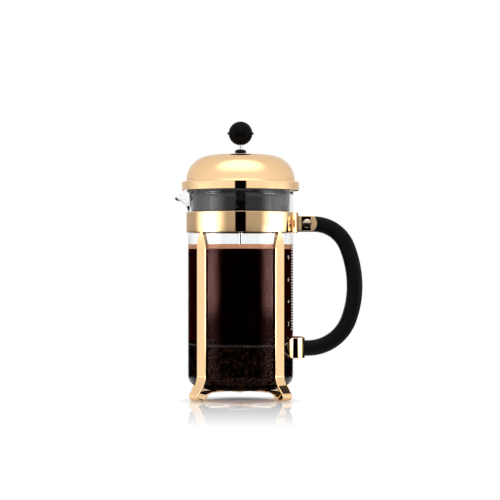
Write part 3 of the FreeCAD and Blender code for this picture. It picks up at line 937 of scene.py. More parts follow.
@dataclass
class Beaker:
    """The glass beaker with its spout, printed marks and what is in it."""

    radius: float = 47.5
    wall: float = 1.8
    floor: float = 8.1
    floor_thick: float = 2.6
    corner: float = 13.0
    top: float = 189.2
    lip_radius: float = 49.2
    lip_low: float = 186.6
    lip_span: Flat = (-3.0, 0.0)
    inner_flare: float = 1.1
    inner_span: Flat = (-2.2, 0.8)
    spout_from: float = 165.9
    spout_reach: float = 10.2
    spout_rise: float = 11.0
    spout_power: float = 2.6
    spout_limit: float = 14.0
    spout_half: float = 10.0
    spout_flare: float = 9 / 33.2
    spout_flare_from: float = 160.0
    spout_hug: float = 0.06
    spout_thin: float = 1.3
    brim_ease: float = 0.5
    # (x, height) of the brim, which dips towards the spout at -X
    brim_line: tuple[Flat, ...] = (
        (-66, 171.5), (-60.4, 177.6), (-54.6, 183.0), (-50, 186.4), (-46.5, 188.1), (-43, 189.2)
    )
    brim_lowest: float = 168.0
    straight_top: float = 150.0
    mark_bearing: float = -15.0
    mark_first: float = 62.0
    mark_step: float = 2.45
    mark_count: int = 31
    mark_size: Point = (0.04, 5.4, 0.9)
    numeral_bearing: float = -26.5
    numeral_first: float = 66.9
    numeral_gap: float = 19.6
    numeral_size: float = 5.0
    foam_top: float = 137.6
    foam_depth: float = 4.0
    grounds_top: float = 46.8
    overlap: float = 0.5
    grounds_soak: float = 1.2
    coffee_soak: float = 0.04

    def spout(self, angle: float, height: float, radius: float) -> float:
        """How far the spout stands out at an angle and height.

        Args:
            angle: the bearing in radians.
            height: the height.
            radius: the plain wall's radius.

        Returns:
            The distance.
        """
        if height <= self.spout_from:
            return 0.0
        reach = self.spout_reach * ((height - self.spout_from) / self.spout_rise) ** self.spout_power
        off = abs(math.atan2(math.sin(angle - math.pi), math.cos(angle - math.pi)))
        half = self.spout_half + self.spout_flare * (height - self.spout_flare_from) + radius * self.spout_hug
        share = off * radius / half
        return min(reach, self.spout_limit) * (1 - share**2) ** 2 if share < 1 else 0.0

    def outside(self, angle: float, height: float) -> float:
        """The outer wall's radius."""
        flare = self.lip_radius - self.radius
        base = self.radius + flare * smooth_step(*(self.lip_low + d for d in self.lip_span), height)
        return max(base, self.radius + self.spout(angle, height, self.radius))

    def inside(self, angle: float, height: float) -> float:
        """The inner wall's radius."""
        inner = self.radius - self.wall
        base = inner + self.inner_flare * smooth_step(*(self.lip_low + d for d in self.inner_span), height)
        return max(base, inner + self.spout(angle, height - self.spout_thin, inner))

    def brim(self, angle: float, wall: Callable[[float, float], float]) -> float:
        """Height at which the wall meets the ground brim, which dips along the spout.

        Args:
            angle: the bearing in radians.
            wall: the wall's radius at an angle and height.

        Returns:
            The height.
        """
        low, high = self.brim_lowest, self.top
        for _ in range(40):
            middle = (low + high) / 2
            x = wall(angle, middle) * math.cos(angle)
            if middle < blend_between(self.brim_line, x):
                low = middle
            else:
                high = middle
        return low

    def angles(self) -> list[float]:
        """Angles round the beaker, closer together at the spout.

        Returns:
            The angles in radians, in order.
        """
        near, plain_steps, fine_steps = 0.62, 96, 56
        turn = 2 * math.pi - 2 * near
        plain = [(-math.pi + near) + turn * i / plain_steps for i in range(plain_steps)]
        fine = [(math.pi - near) + 2 * near * i / fine_steps for i in range(fine_steps)]
        return plain + fine

    def glass(self, finishes: list[bpy.types.Material]) -> bpy.types.Object:
        """The beaker: a closed shell from the floor's underside over the brim to the inside.

        Args:
            finishes: for bare glass, for the inside where the drink stands, and for the outside over it.

        Returns:
            The beaker.
        """
        shell = Shell()
        angles = self.angles()
        rise = 16
        rows = 26
        out = arc((self.radius - self.corner, self.floor + self.corner), self.corner, -90, 0, rise)
        for radius, height in [(r * 0.5, h) for r, h in out[:1]] + out:
            shell.ring(around(radius, height, angles))
        shell.ring(around(self.radius, self.foam_top, angles))
        brims = [(self.brim(a, self.outside), self.brim(a, self.inside)) for a in angles]
        for i in range(rows + 1):
            self.wall_ring(shell, angles, self.outside, [high for high, _ in brims], i / rows)
        self.round_brim(shell, angles, brims)
        for i in range(rows, -1, -1):
            self.wall_ring(shell, angles, self.inside, [high for _, high in brims], i / rows)
        inner = self.radius - self.wall
        bend = self.corner - self.wall
        rounded = [(inner, self.foam_top)]
        rounded += arc((inner - bend, self.floor + self.floor_thick + bend), bend, 0, -90, rise)
        for radius, height in rounded + [(r * 0.5, h) for r, h in rounded[-1:]]:
            shell.ring(around(radius, height, angles))
        count = len(angles)
        total = len(shell.points) // count
        for i in range(total - 1):
            shell.bridge(range(i * count, (i + 1) * count), range((i + 1) * count, (i + 2) * count))
        shell.fan(list(range(count)), (0, 0, self.floor))
        shell.fan(list(range((total - 1) * count, total * count)), (0, 0, self.floor + self.floor_thick))
        made = shell.piece("beaker_glass", finishes[0], sharp_deg=60)
        for finish in finishes[1:]:
            made.data.materials.append(finish)
        self.dress_wet_faces(made)
        return made

    def wall_ring(
        self,
        shell: Shell,
        angles: Sequence[float],
        wall: Callable[[float, float], float],
        brims: Sequence[float],
        share: float,
    ) -> None:
        """Adds a ring of the upper wall, part of the way from the straight glass to the brim.

        Args:
            shell: where the points go.
            angles: the ring's angles.
            wall: the wall's radius at an angle and height.
            brims: the brim's height at each angle.
            share: how far up the ring is, from 0 to 1.
        """
        ring = []
        for a, brim in zip(angles, brims):
            z = self.straight_top + (brim - self.brim_ease - self.straight_top) * share
            r = wall(a, z)
            ring.append((r * math.cos(a), r * math.sin(a), z))
        shell.ring(ring)

    def round_brim(
        self, shell: Shell, angles: Sequence[float], brims: Sequence[Flat], steps: int = 8
    ) -> None:
        """Adds the rings of the fire-polished edge.

        Args:
            shell: where the points go.
            angles: the rings' angles.
            brims: the brim's height on the outer and the inner wall at each angle.
            steps: divisions of the half round.
        """
        ease = self.brim_ease
        for turn in range(1, steps):
            swing, lift = math.cos(math.pi * turn / steps), math.sin(math.pi * turn / steps)
            ring = []
            for a, (high, low) in zip(angles, brims):
                far, near = self.outside(a, high - ease), self.inside(a, low - ease)
                r = (far + near) / 2 + (far - near) / 2 * swing
                z = (high + low) / 2 + (high - low) / 2 * swing - ease + ease * lift
                ring.append((r * math.cos(a), r * math.sin(a), z))
            shell.ring(ring)

    def dress_wet_faces(self, glass: bpy.types.Object) -> None:
        """Gives the faces below the drink's top their own finishes.

        Args:
            glass: the beaker, with bare, inner wet and outer wet finishes in that order.
        """
        near = 0.01
        limit, side = (self.foam_top + near) * MM, (self.radius - self.wall + near) * MM
        floor = (self.floor + self.floor_thick - near) * MM
        for face in glass.data.polygons:
            corners = [glass.data.vertices[i].co for i in face.vertices]
            if all(c.z < limit for c in corners):
                inner = all(math.hypot(c.x, c.y) < side and c.z > floor for c in corners)
                face.material_index = 1 if inner else 2

    def fill(
        self, name: str, low: float, high: float, material: bpy.types.Material, soak: float = 0.08
    ) -> bpy.types.Object:
        """A body of drink against the glass.

        Args:
            name: the piece's name.
            low: its lower height.
            high: its upper height.
            material: its finish.
            soak: how far it reaches into the glass.

        Returns:
            The body.
        """
        shell = Shell()
        wall = self.radius - self.wall + soak
        bend = self.corner - self.wall
        base = self.floor + self.floor_thick - soak
        on_the_floor = low <= base + soak + 0.1
        profile: list[Flat] = [(0.0, low), (wall, low)]
        if on_the_floor:
            profile = [(0.0, base)] + arc((wall - bend, base + bend), bend, -90, 0, 14)
        profile += [(wall, high), (0.0, high)]
        angles = self.angles()
        rows = [None if r < 1e-6 else shell.ring(around(r, z, angles)) for r, z in profile]
        for i in range(1, len(rows) - 2):
            shell.bridge(rows[i], rows[i + 1])
        shell.fan(rows[1], (0, 0, profile[0][1]))
        shell.fan(rows[-2], (0, 0, profile[-1][1]))
        return shell.piece(name, material, sharp_deg=40)

    def ticks(self, material: bpy.types.Material) -> bpy.types.Object:
        """The measuring marks: a column of short bars printed on the wall, made by a recipe.

        Args:
            material: their finish.

        Returns:
            The marks as one piece.
        """
        recipe = Recipe("measuring_marks")
        recipe.size("Radius", (self.radius + 0.02) * MM)
        recipe.size("Bearing", math.radians(self.mark_bearing))
        recipe.size("First Mark", self.mark_first * MM)
        recipe.size("Step", self.mark_step * MM)
        recipe.size("Marks", self.mark_count, "Int")
        bar = recipe.feed(recipe.node("GeometryNodeMeshCube"), Size=[c * MM for c in self.mark_size])
        rise = recipe.node("ShaderNodeCombineXYZ")
        first = recipe.node("ShaderNodeCombineXYZ")
        recipe.feed(rise, Z=recipe.read("Step"))
        recipe.feed(first, X=recipe.read("Radius"), Z=recipe.read("First Mark"))
        column = recipe.feed(
            recipe.node("GeometryNodeMeshLine"),
            Count=recipe.read("Marks"),
            Start_Location=first.outputs["Vector"],
            Offset=rise.outputs["Vector"],
        )
        placed = recipe.feed(
            recipe.node("GeometryNodeInstanceOnPoints"),
            Points=column.outputs["Mesh"],
            Instance=bar.outputs["Mesh"],
        )
        bearing = recipe.node("ShaderNodeCombineXYZ")
        recipe.feed(bearing, Z=recipe.read("Bearing"))
        turned = recipe.feed(
            recipe.node("GeometryNodeTransform"),
            Geometry=placed.outputs["Instances"],
            Rotation=bearing.outputs["Vector"],
        )
        recipe.close(turned.outputs["Geometry"], material, False)
        return recipe.bake("measuring_marks")

    def numerals(self, material: bpy.types.Material) -> bpy.types.Object:
        """Plain numbers printed beside the marks, wrapped round the wall and read upwards.

        Args:
            material: their finish.

        Returns:
            The numbers as one piece.
        """
        points: list[Point] = []
        faces: list[list[int]] = []
        for i, text in enumerate(("2", "4", "6", "8")):
            flat = self.flat_text(text)
            start = len(points)
            height = self.numeral_first + self.numeral_gap * i
            for v in flat.vertices:
                a = math.radians(self.numeral_bearing) + v.co.x / self.radius
                r = self.radius + 0.03
                points.append((r * math.cos(a), r * math.sin(a), height + v.co.y))
            faces += [[start + k for k in p.vertices] for p in flat.polygons]
            bpy.data.meshes.remove(flat)
        mesh = bpy.data.meshes.new("numerals")
        mesh.from_pydata([[c * MM for c in p] for p in points], [], faces)
        mesh.materials.append(material)
        obj = bpy.data.objects.new("numerals", mesh)
        bpy.context.scene.collection.objects.link(obj)
        return obj

    def flat_text(self, text: str) -> bpy.types.Mesh:
        """Writes a numeral flat about the origin.

        Args:
            text: what to write.

        Returns:
            Its mesh, in millimetres.
        """
        curve = bpy.data.curves.new("numeral", "FONT")
        curve.body, curve.size = text, self.numeral_size
        curve.align_x = curve.align_y = "CENTER"
        maker = bpy.data.objects.new("numeral", curve)
        bpy.context.scene.collection.objects.link(maker)
        graph = bpy.context.evaluated_depsgraph_get()
        flat = bpy.data.meshes.new_from_object(maker.evaluated_get(graph), depsgraph=graph)
        bpy.data.objects.remove(maker)
        return flat

    def build(self) -> None:
        """Makes the beaker and what is in it."""
        finishes = [
            ClearGlass().material(),
            ClearGlass("wetted_glass", ior=1.0, tint=grey(1.0)).material(),
            # painted reflection: over the drink the glass mirrors in red-brown, standing in for the red light
            # that comes through the coffee's thin edges
            ClearGlass("glass_over_drink_painted_reflection", ior=1.26, gleam=(1.0, 0.48, 0.43, 1.0)).material(),
        ]
        fit(self.glass(finishes), Body.BEAKER, ["glass_beaker"])
        print_finish = FiredMark().material()
        fit(self.ticks(print_finish), Body.BEAKER)
        fit(self.numerals(print_finish), Body.BEAKER)
        base = self.floor + self.floor_thick
        foam_low = self.foam_top - self.foam_depth
        grounds = self.fill("grounds", base, self.grounds_top, WetGrounds().material(), self.grounds_soak)
        fit(grounds, Body.BEAKER)
        low, high = self.grounds_top - self.overlap, foam_low + self.overlap
        fit(self.fill("coffee", low, high, BrewedCoffee().material(), self.coffee_soak), Body.BEAKER)
        fit(self.fill("foam", foam_low, self.foam_top, CoffeeFoam().material()), Body.BEAKER)


def smooth_step(low: float, high: float, x: float) -> float:
    """0 below low, 1 above high, eased between."""
    share = min(1.0, max(0.0, (x - low) / (high - low)))
    return share * share * (3 - 2 * share)


# ---- frame ------------------------------------------------------------------------------------------


@dataclass
class StrapFrame:
    """The plated frame: two crossing straps, the upper band with its clamp, and the lower bracket."""

    sheet: float = 1.2
    strap_top: float = 8.0
    # (height, half width) where the strap narrows to its tongue
    strap_taper: tuple[Flat, ...] = (
        (133.0, 5.5), (135.4, 5.42), (138.4, 5.0), (141.6, 4.15), (145.1, 3.05), (148.2, 1.9)
    )
    leg_radius: float = 48.5
    base_reach: float = 39.4
    weld_gap: float = 0.02
    band_inner: float = 48.0
    band_sheet: float = 1.1
    band_low: float = 148.2
    band_height: float = 18.2
    wrap_stop: float = 14.5
    root_bend: float = 4.5
    tab_crown: float = 43.0
    tab_x: float = 59.5
    tab_z: float = 156.4
    tab_half: float = 6.65
    tab_end: float = 8.8
    tab_step: float = 51.8
    tab_round: float = 1.4
    tab_side: float = 20.0
    bracket_z: float = 45.3
    bracket_height: float = 18.2
    bracket_tongue: float = 7.2
    bracket_side: float = 17.5
    bracket_weld_deg: float = 38.2
    # x where the welded tongue ends and where the full height starts
    bracket_taper: Flat = (38.6, 45.4)
    notch_from: float = 56.5
    notch_half: float = 5.2
    notch_high: float = 3.2
    edge: float = 0.28

    def leg_path(self, joggle: float) -> BendPath:
        """One leg from the base's middle out, round the foot and up to the band.

        Args:
            joggle: how far the base dips under the other strap.

        Returns:
            The leg's middle line.
        """
        path = BendPath(0, self.strap_top - self.sheet / 2 - joggle, 0)
        if joggle:
            ramp, bend = 25.0, 1.2
            rise = joggle - 2 * bend * (1 - math.cos(math.radians(ramp)))
            path.run(8.0).bend(bend, ramp).run(rise / math.sin(math.radians(ramp))).bend(bend, -ramp)
        slope, foot, flat, leg_bend, first = 40.0, 3.3, 1.6, 16.0, 12.0
        drop = (foot + first) * (1 - math.cos(math.radians(slope)))
        run = path.v - self.sheet / 2 - drop
        path.run(self.base_reach - path.u, 4).bend(first, -slope).run(run / math.sin(math.radians(slope)))
        path.bend(foot, slope).run(flat).bend(foot, 90 + slope)
        inward = path.u - self.leg_radius - leg_bend * (1 - math.cos(math.radians(slope)))
        path.run(inward / math.cos(math.radians(90 - slope)), 2).bend(leg_bend, -slope, 3.0)
        path.run(self.strap_taper[0][0] - path.v, 12)
        return path.run(self.band_low - self.weld_gap - path.v, 16)

    def leg_half_width(self, height: float) -> float:
        """Half the strap's width: full below, drawn in to a tongue at the band."""
        return blend_between(self.strap_taper, height)

    def strap(
        self, name: str, azimuth_deg: float, joggle: float, material: bpy.types.Material
    ) -> bpy.types.Object:
        """One strap: two legs, two feet and the base run between them.

        Args:
            name: the strap's name.
            azimuth_deg: the bearing of one of its legs.
            joggle: how far its base dips under the other strap.
            material: its finish.

        Returns:
            The strap.
        """
        a = math.radians(azimuth_deg)
        across = (-math.sin(a), math.cos(a), 0.0)
        rings = []
        for u, v, heading in self.leg_path(joggle).mirrored():
            centre = (u * math.cos(a), u * math.sin(a), v)
            normal = (-math.sin(heading) * math.cos(a), -math.sin(heading) * math.sin(a), math.cos(heading))
            half = self.leg_half_width(v)
            rings.append(strip_ring(centre, across, normal, (half, half), self.sheet, self.edge))
        shell = Shell()
        sweep(shell, rings)
        return shell.piece(name, material, sharp_deg=25)

    def band_path(self) -> BendPath:
        """Half the band, from opposite the handle round to the clamp tab's end.

        Returns:
            The band's middle line.
        """
        middle = self.band_inner + self.band_sheet / 2
        ring = middle + self.root_bend
        reach = self.tab_x - ring * math.cos(math.radians(self.wrap_stop))
        spread = math.degrees(math.asin(reach / (self.root_bend + self.tab_crown)))
        end = math.degrees(math.asin((self.tab_end - 0.05) / self.tab_crown))
        path = BendPath(-middle, 0, -90).bend(middle, 180 - self.wrap_stop, 2.5)
        path.bend(self.root_bend, -(90 - self.wrap_stop + spread), 4.0)
        return path.bend(self.tab_crown, spread + end, 0.7)

    def band_reach(self, x: float, y: float) -> Flat:
        """How far the band reaches above and below the tab's middle line at a place.

        Args:
            x: distance in front of the axis, towards the handle.
            y: distance beside it.

        Returns:
            Reach above and reach below.
        """
        full = (self.band_low + self.band_height - self.tab_z, self.tab_z - self.band_low)
        worn_from = self.tab_step - self.tab_round
        if abs(y) > self.tab_side or x < worn_from:
            return full
        if x < self.tab_step:
            worn = self.tab_round - math.sqrt(max(0.0, self.tab_round**2 - (x - worn_from) ** 2))
            return full[0] - worn, full[1] - worn
        past = min(1.0, max(0.0, (x - self.tab_x) / self.tab_end))
        round_end = self.tab_end * math.sqrt(max(0.012, 1 - past**2))
        return min(self.tab_half, round_end), min(self.tab_half, round_end)

    def band(self, material: bpy.types.Material) -> bpy.types.Object:
        """The upper band, one strip with both clamp tabs.

        Args:
            material: its finish.

        Returns:
            The band.
        """
        half = self.band_path().stations
        other = [(u, -v, -h + math.pi) for u, v, h in reversed(half[1:])]
        rings = []
        for u, v, heading in other + half:
            normal = (-math.sin(heading), math.cos(heading), 0.0)
            reach = self.band_reach(u, v)
            rings.append(
                strip_ring((u, v, self.tab_z), (0, 0, 1), normal, reach, self.band_sheet, self.edge)
            )
        shell = Shell()
        sweep(shell, rings)
        return shell.piece("upper_band", material, sharp_deg=25)

    def bracket(self, material: bpy.types.Material) -> bpy.types.Object:
        """The lower loop that the handle's foot hooks into.

        Args:
            material: its finish.

        Returns:
            The bracket.
        """
        middle, root, corner = 48.8, 2.5, 9.8
        stop = math.degrees(math.asin((self.bracket_side + root) / (middle + root)))
        start = math.radians(self.bracket_weld_deg)
        path = BendPath(middle * math.cos(start), -middle * math.sin(start), 90 - math.degrees(start))
        path.bend(middle, math.degrees(start) - stop, 1.5).bend(root, stop - 90, 5.0)
        path.bend(corner, 90, 5.0).run(self.bracket_side - corner, 5)
        half = path.stations
        other = [(u, -v, -h + math.pi) for u, v, h in reversed(half[:-1])]
        taper = tuple(zip(self.bracket_taper, (self.bracket_tongue / 2, self.bracket_height / 2)))
        rings = []
        for u, v, heading in half + other:
            normal = (-math.sin(heading), math.cos(heading), 0.0)
            reach = blend_between(taper, u)
            notch = u > self.notch_from and abs(v) < self.notch_half
            ends = (self.notch_high if notch else reach, reach)
            rings.append(
                strip_ring((u, v, self.bracket_z), (0, 0, 1), normal, ends, self.band_sheet, self.edge)
            )
        shell = Shell()
        sweep(shell, rings)
        return shell.piece("lower_bracket", material, sharp_deg=25)

    def build(self) -> None:
        """Makes the frame and refinishes its fasteners."""
        plating = PlatedSteel().material()
        fit(self.strap("strap_high", -45, 0, plating), Body.FRAME, ["strap_upper"])
        fit(self.strap("strap_low", 45, self.sheet, plating), Body.FRAME, ["strap_lower"])
        fit(self.band(plating), Body.FRAME, ["frame_band"])
        fit(self.bracket(plating), Body.FRAME, ["handle_bracket"])
        refinish("base_rivet", plating)
        screw = DrawnSteel(
            "screw_steel", shade=0.6, polish=(0.12, 0.22), lines=(0.5, 5.0, 5.0), cast=(1.0, 0.78, 0.6)
        ).material()
        for node in ("clamp_screw", "clamp_nut", "knob_insert"):
            refinish(node, screw)


@dataclass
class Handle:
    """The moulded grip."""

    top_z: float = 156.0
    height: float = 14.0
    top_width: float = 15.9
    grip_width: float = 20.0
    foot_width: float = 17.0
    squareness: float = 3.2
    # (start, span, power) of the fuller middle, as shares of the grip's length
    swell: Point = (0.12, 0.84, 1.3)
    clamp_end: float = 49.0
    clamp_run: float = 16.9
    # (radius, turn, station step) of each bend, from the clamp down
    bends: tuple[Point, ...] = (
        (32.1, -68.2, 3.0), (96.4, -21.8, 1.5), (85.0, -20.7, 1.5), (39.3, -69.3, 3.0)
    )
    foot_end: float = 57.9
    foot_worn: float = 1.2
    # (x span, half width, height span) of the foot's two blocks
    foot_blocks: tuple[tuple[Flat, float, Flat], ...] = (
        ((55.2, 58.6), 5.0, (-6.0, 6.0)), ((49.9, 56.3), 11.0, (-6.0, 6.3))
    )
    around_steps: int = 56

    def path(self) -> BendPath:
        """The grip's centre line in the (X, Z) plane, from the clamp down to the bracket.

        Returns:
            The centre line.
        """
        path = BendPath(self.clamp_end, self.top_z, 0).run(self.clamp_run, 8)
        for radius, turn, step in self.bends:
            path.bend(radius, turn, step)
        return path.run(path.u - self.foot_end, 3)

    def section(self, u: float, v: float, heading: float, width: float, height: float) -> list[Point]:
        """A squared oval across the centre line.

        Args:
            u: the section's middle along X.
            v: its middle along Z.
            heading: the centre line's direction there.
            width: size along Y.
            height: size across the centre line.

        Returns:
            The section in order.
        """
        power = 2 / self.squareness
        found = []
        for a in even_turn(self.around_steps):
            c, s = math.cos(a), math.sin(a)
            across = math.copysign(abs(c) ** power, c) * width / 2
            along = math.copysign(abs(s) ** power, s) * height / 2
            found.append((u - along * math.sin(heading), across, v + along * math.cos(heading)))
        return found

    def grip(self, material: bpy.types.Material) -> bpy.types.Object:
        """The whole moulding, fuller in its middle.

        Args:
            material: its finish.

        Returns:
            The grip.
        """
        stations = self.path().stations
        lengths = [0.0]
        for (u0, v0, _), (u1, v1, _) in zip(stations, stations[1:]):
            lengths.append(lengths[-1] + math.hypot(u1 - u0, v1 - v0))
        start, span, power = self.swell
        rings = []
        for length, (u, v, h) in zip(lengths, stations):
            share = length / lengths[-1]
            ends = self.top_width + (self.foot_width - self.top_width) * share
            swell = math.sin(math.pi * min(1.0, max(0.0, (share - start) / span))) ** power
            width = ends + (self.grip_width - ends) * swell
            rings.append(self.section(u, v, h, width, self.height))
        shell = Shell()
        sweep(shell, rings)
        return shell.piece("grip", material, sharp_deg=40)

    def foot(self, material: bpy.types.Material) -> bpy.types.Object:
        """The hooked foot that sits in the bracket's loop.

        Args:
            material: its finish.

        Returns:
            The foot.
        """
        shell = Shell()
        middle = self.path().v
        worn = self.foot_worn
        slight = worn * 0.3
        for (x0, x1), half, (low, high) in self.foot_blocks:
            near = [(x0, worn), (x0 + slight, slight), (x0 + worn, 0.0)]
            far = [(x1 - worn, 0.0), (x1 - slight, slight), (x1, worn)]
            rings = []
            for x, inset in near + far:
                reach = ((high - low) / 2 - inset, (high - low) / 2 - inset)
                centre = (x, 0.0, middle + (low + high) / 2)
                rings.append(strip_ring(centre, (0, 0, 1), (0, 1, 0), reach, 2 * (half - inset), worn))
            sweep(shell, rings)
        return shell.piece("grip_foot", material, sharp_deg=40)

    def build(self) -> None:
        """Makes the handle."""
        plastic = MouldedBlack("handle_black").material()
        fit(self.grip(plastic), Body.FRAME, ["handle"])
        fit(self.foot(plastic), Body.FRAME)


# ---- lid --------------------------------------------------------------------------------------------


@dataclass
class Lid:
    """The plated dome, its black liner and the rod's bushing."""

    rim_radius: float = 53.05
    rim_low: float = 186.1
    sheet: float = 0.8
    shoulder: float = 23.1
    shoulder_at: float = 26.05
    shoulder_z: float = 194.8
    crown_slope: float = 8.0
    bush_radius: float = 5.2
    bush_top: float = 223.0
    bush_seat: float = 219.8
    liner_low: float = 167.0
    liner_flange: float = 189.4
    slots: int = 9
    slot_pitch: int = 3
    dome_hole: float = 3.7
    rod_bore: float = 2.06
    bush_stem: float = 3.6
    bush_depth: float = 5.5
    bush_ease: float = 2.2

    def dome_line(self) -> list[tuple[float, float, float]]:
        """The sheet's middle line from the rod's hole to the rim's lower edge.

        Returns:
            The line's stations.
        """
        half = self.sheet / 2
        shoulder = self.shoulder - half
        slope = math.radians(self.crown_slope)
        crown = (self.shoulder_at + shoulder * math.sin(slope)) / math.sin(slope)
        hole = self.dome_hole
        start = math.degrees(math.asin(hole / crown))
        top = self.shoulder_z + shoulder * math.cos(slope) + crown * (1 - math.cos(slope))
        path = BendPath(hole, top - crown * (1 - math.cos(math.radians(start))), -start)
        path.bend(crown, start - self.crown_slope, 0.4).bend(shoulder, self.crown_slope - 90, 2.5)
        root, outer = 1.2, 0.9
        path.bend(root, 90, 9.0).run(self.rim_radius - half - outer - path.u).bend(outer, -90, 9.0)
        return path.run(path.v - self.rim_low, 2).stations

    def dome(self, material: bpy.types.Material) -> bpy.types.Object:
        """The spun dome as a closed sheet.

        Args:
            material: its finish.

        Returns:
            The dome.
        """
        half = self.sheet / 2
        line = self.dome_line()
        upper = [(u - half * math.sin(h), v + half * math.cos(h)) for u, v, h in line]
        lower = [(u + half * math.sin(h), v - half * math.cos(h)) for u, v, h in reversed(line)]
        shell = Shell()
        lathe(shell, upper + lower, steps=192, closed=True)
        return shell.piece("lid_shell", material, sharp_deg=50)

    def liner(self, material: bpy.types.Material) -> bpy.types.Object:
        """The moulded liner: disc, skirt, boss, and the slots that face the spout.

        Args:
            material: its finish.

        Returns:
            The liner.
        """
        low, flange = self.liner_low, self.liner_flange
        top = flange + 2.0
        # out below the disc, down inside the skirt, up outside it, round the flange, and back over the boss
        profile = [
            (2.6, flange), (43.2, flange), (42.9, 187.0), (42.5, low + 0.5), (42.7, low), (44.0, low),
            (44.3, low + 0.4), (45.1, flange - 0.6), (45.4, flange), (51.6, flange), (51.9, flange + 0.3),
            (51.9, top - 0.3), (51.6, top), (7.0, top), (5.2, top + 6.0), (2.6, top + 6.0),
        ]
        steps = 180
        shell = Shell()
        angles = even_turn(steps)
        rows = [shell.ring(around(r, z, angles)) for r, z in profile]
        open_faces = self.slot_columns(steps)
        for i in range(len(rows)):
            following = rows[(i + 1) % len(rows)]
            skirt = profile[i][1] < flange - 0.3 and profile[(i + 1) % len(rows)][1] < flange - 0.3
            for k in range(steps):
                j = (k + 1) % steps
                tall = abs(profile[i][1] - profile[(i + 1) % len(rows)][1]) > 10
                if skirt and tall and k in open_faces:
                    continue
                shell.faces.append([rows[i][k], rows[i][j], following[j], following[k]])
        skirt_rows = [row for row, (_, z) in zip(rows, profile) if low + 0.3 < z < flange - 0.3]
        self.line_slots(shell, skirt_rows, open_faces, steps)
        return shell.piece("lid_liner", material, sharp_deg=35)

    def slot_columns(self, steps: int) -> set[int]:
        """Which columns of the skirt are open.

        Args:
            steps: how many columns the skirt has.

        Returns:
            Their numbers.
        """
        middle = steps // 2
        found = set()
        for i in range(self.slots):
            found.add((middle + self.slot_pitch * (i - self.slots // 2)) % steps)
        return found

    def line_slots(
        self, shell: Shell, rows: Sequence[Sequence[int]], columns: set[int], steps: int
    ) -> None:
        """Closes the sides, top and bottom of each slot through the skirt's wall.

        Args:
            shell: where the faces go.
            rows: the skirt's four rows: inner high, inner low, outer low, outer high.
            columns: the open columns.
            steps: how many columns the skirt has.
        """
        inner_high, inner_low, outer_low, outer_high = rows
        for k in columns:
            j = (k + 1) % steps
            shell.faces.append([inner_high[k], inner_low[k], outer_low[k], outer_high[k]])
            shell.faces.append([inner_high[j], outer_high[j], outer_low[j], inner_low[j]])
            shell.faces.append([inner_high[k], outer_high[k], outer_high[j], inner_high[j]])
            shell.faces.append([inner_low[k], inner_low[j], outer_low[j], outer_low[k]])

    def bushing(self, material: bpy.types.Material) -> bpy.types.Object:
        """The domed black guide on the crown.

        Args:
            material: its finish.

        Returns:
            The bushing.
        """
        bore, stem, ease = self.rod_bore, self.bush_stem, self.bush_ease
        foot = self.bush_seat - self.bush_depth
        profile: list[Flat] = [(bore, foot), (stem, foot), (stem, self.bush_seat)]
        profile += [(self.bush_radius - 0.15, self.bush_seat), (self.bush_radius, self.bush_seat + 0.15)]
        profile += arc((self.bush_radius - ease, self.bush_top - ease), ease, 0, 90, 10)
        profile += [(bore + 0.2, self.bush_top), (bore, self.bush_top - 0.2)]
        shell = Shell()
        lathe(shell, profile, steps=64, closed=True)
        return shell.piece("bushing_cap", material, sharp_deg=40)

    def build(self) -> None:
        """Makes the lid."""
        fit(self.dome(PlatedSteel("lid_plating").material()), Body.LID, ["lid_dome"])
        gloss = MouldedBlack(
            "liner_black", tone=0.0008, gloss=0.12, roughness=(0.05, 0.09), grain_mm=0.003, grain_scale=0.8
        ).material()
        fit(self.liner(gloss), Body.LID, ["lid_insert"])
        fit(self.bushing(gloss), Body.GUIDE, ["rod_bushing"])
        refinish("bushing_nut", gloss)


# ---- plunger ----------------------------------------------------------------------------------------


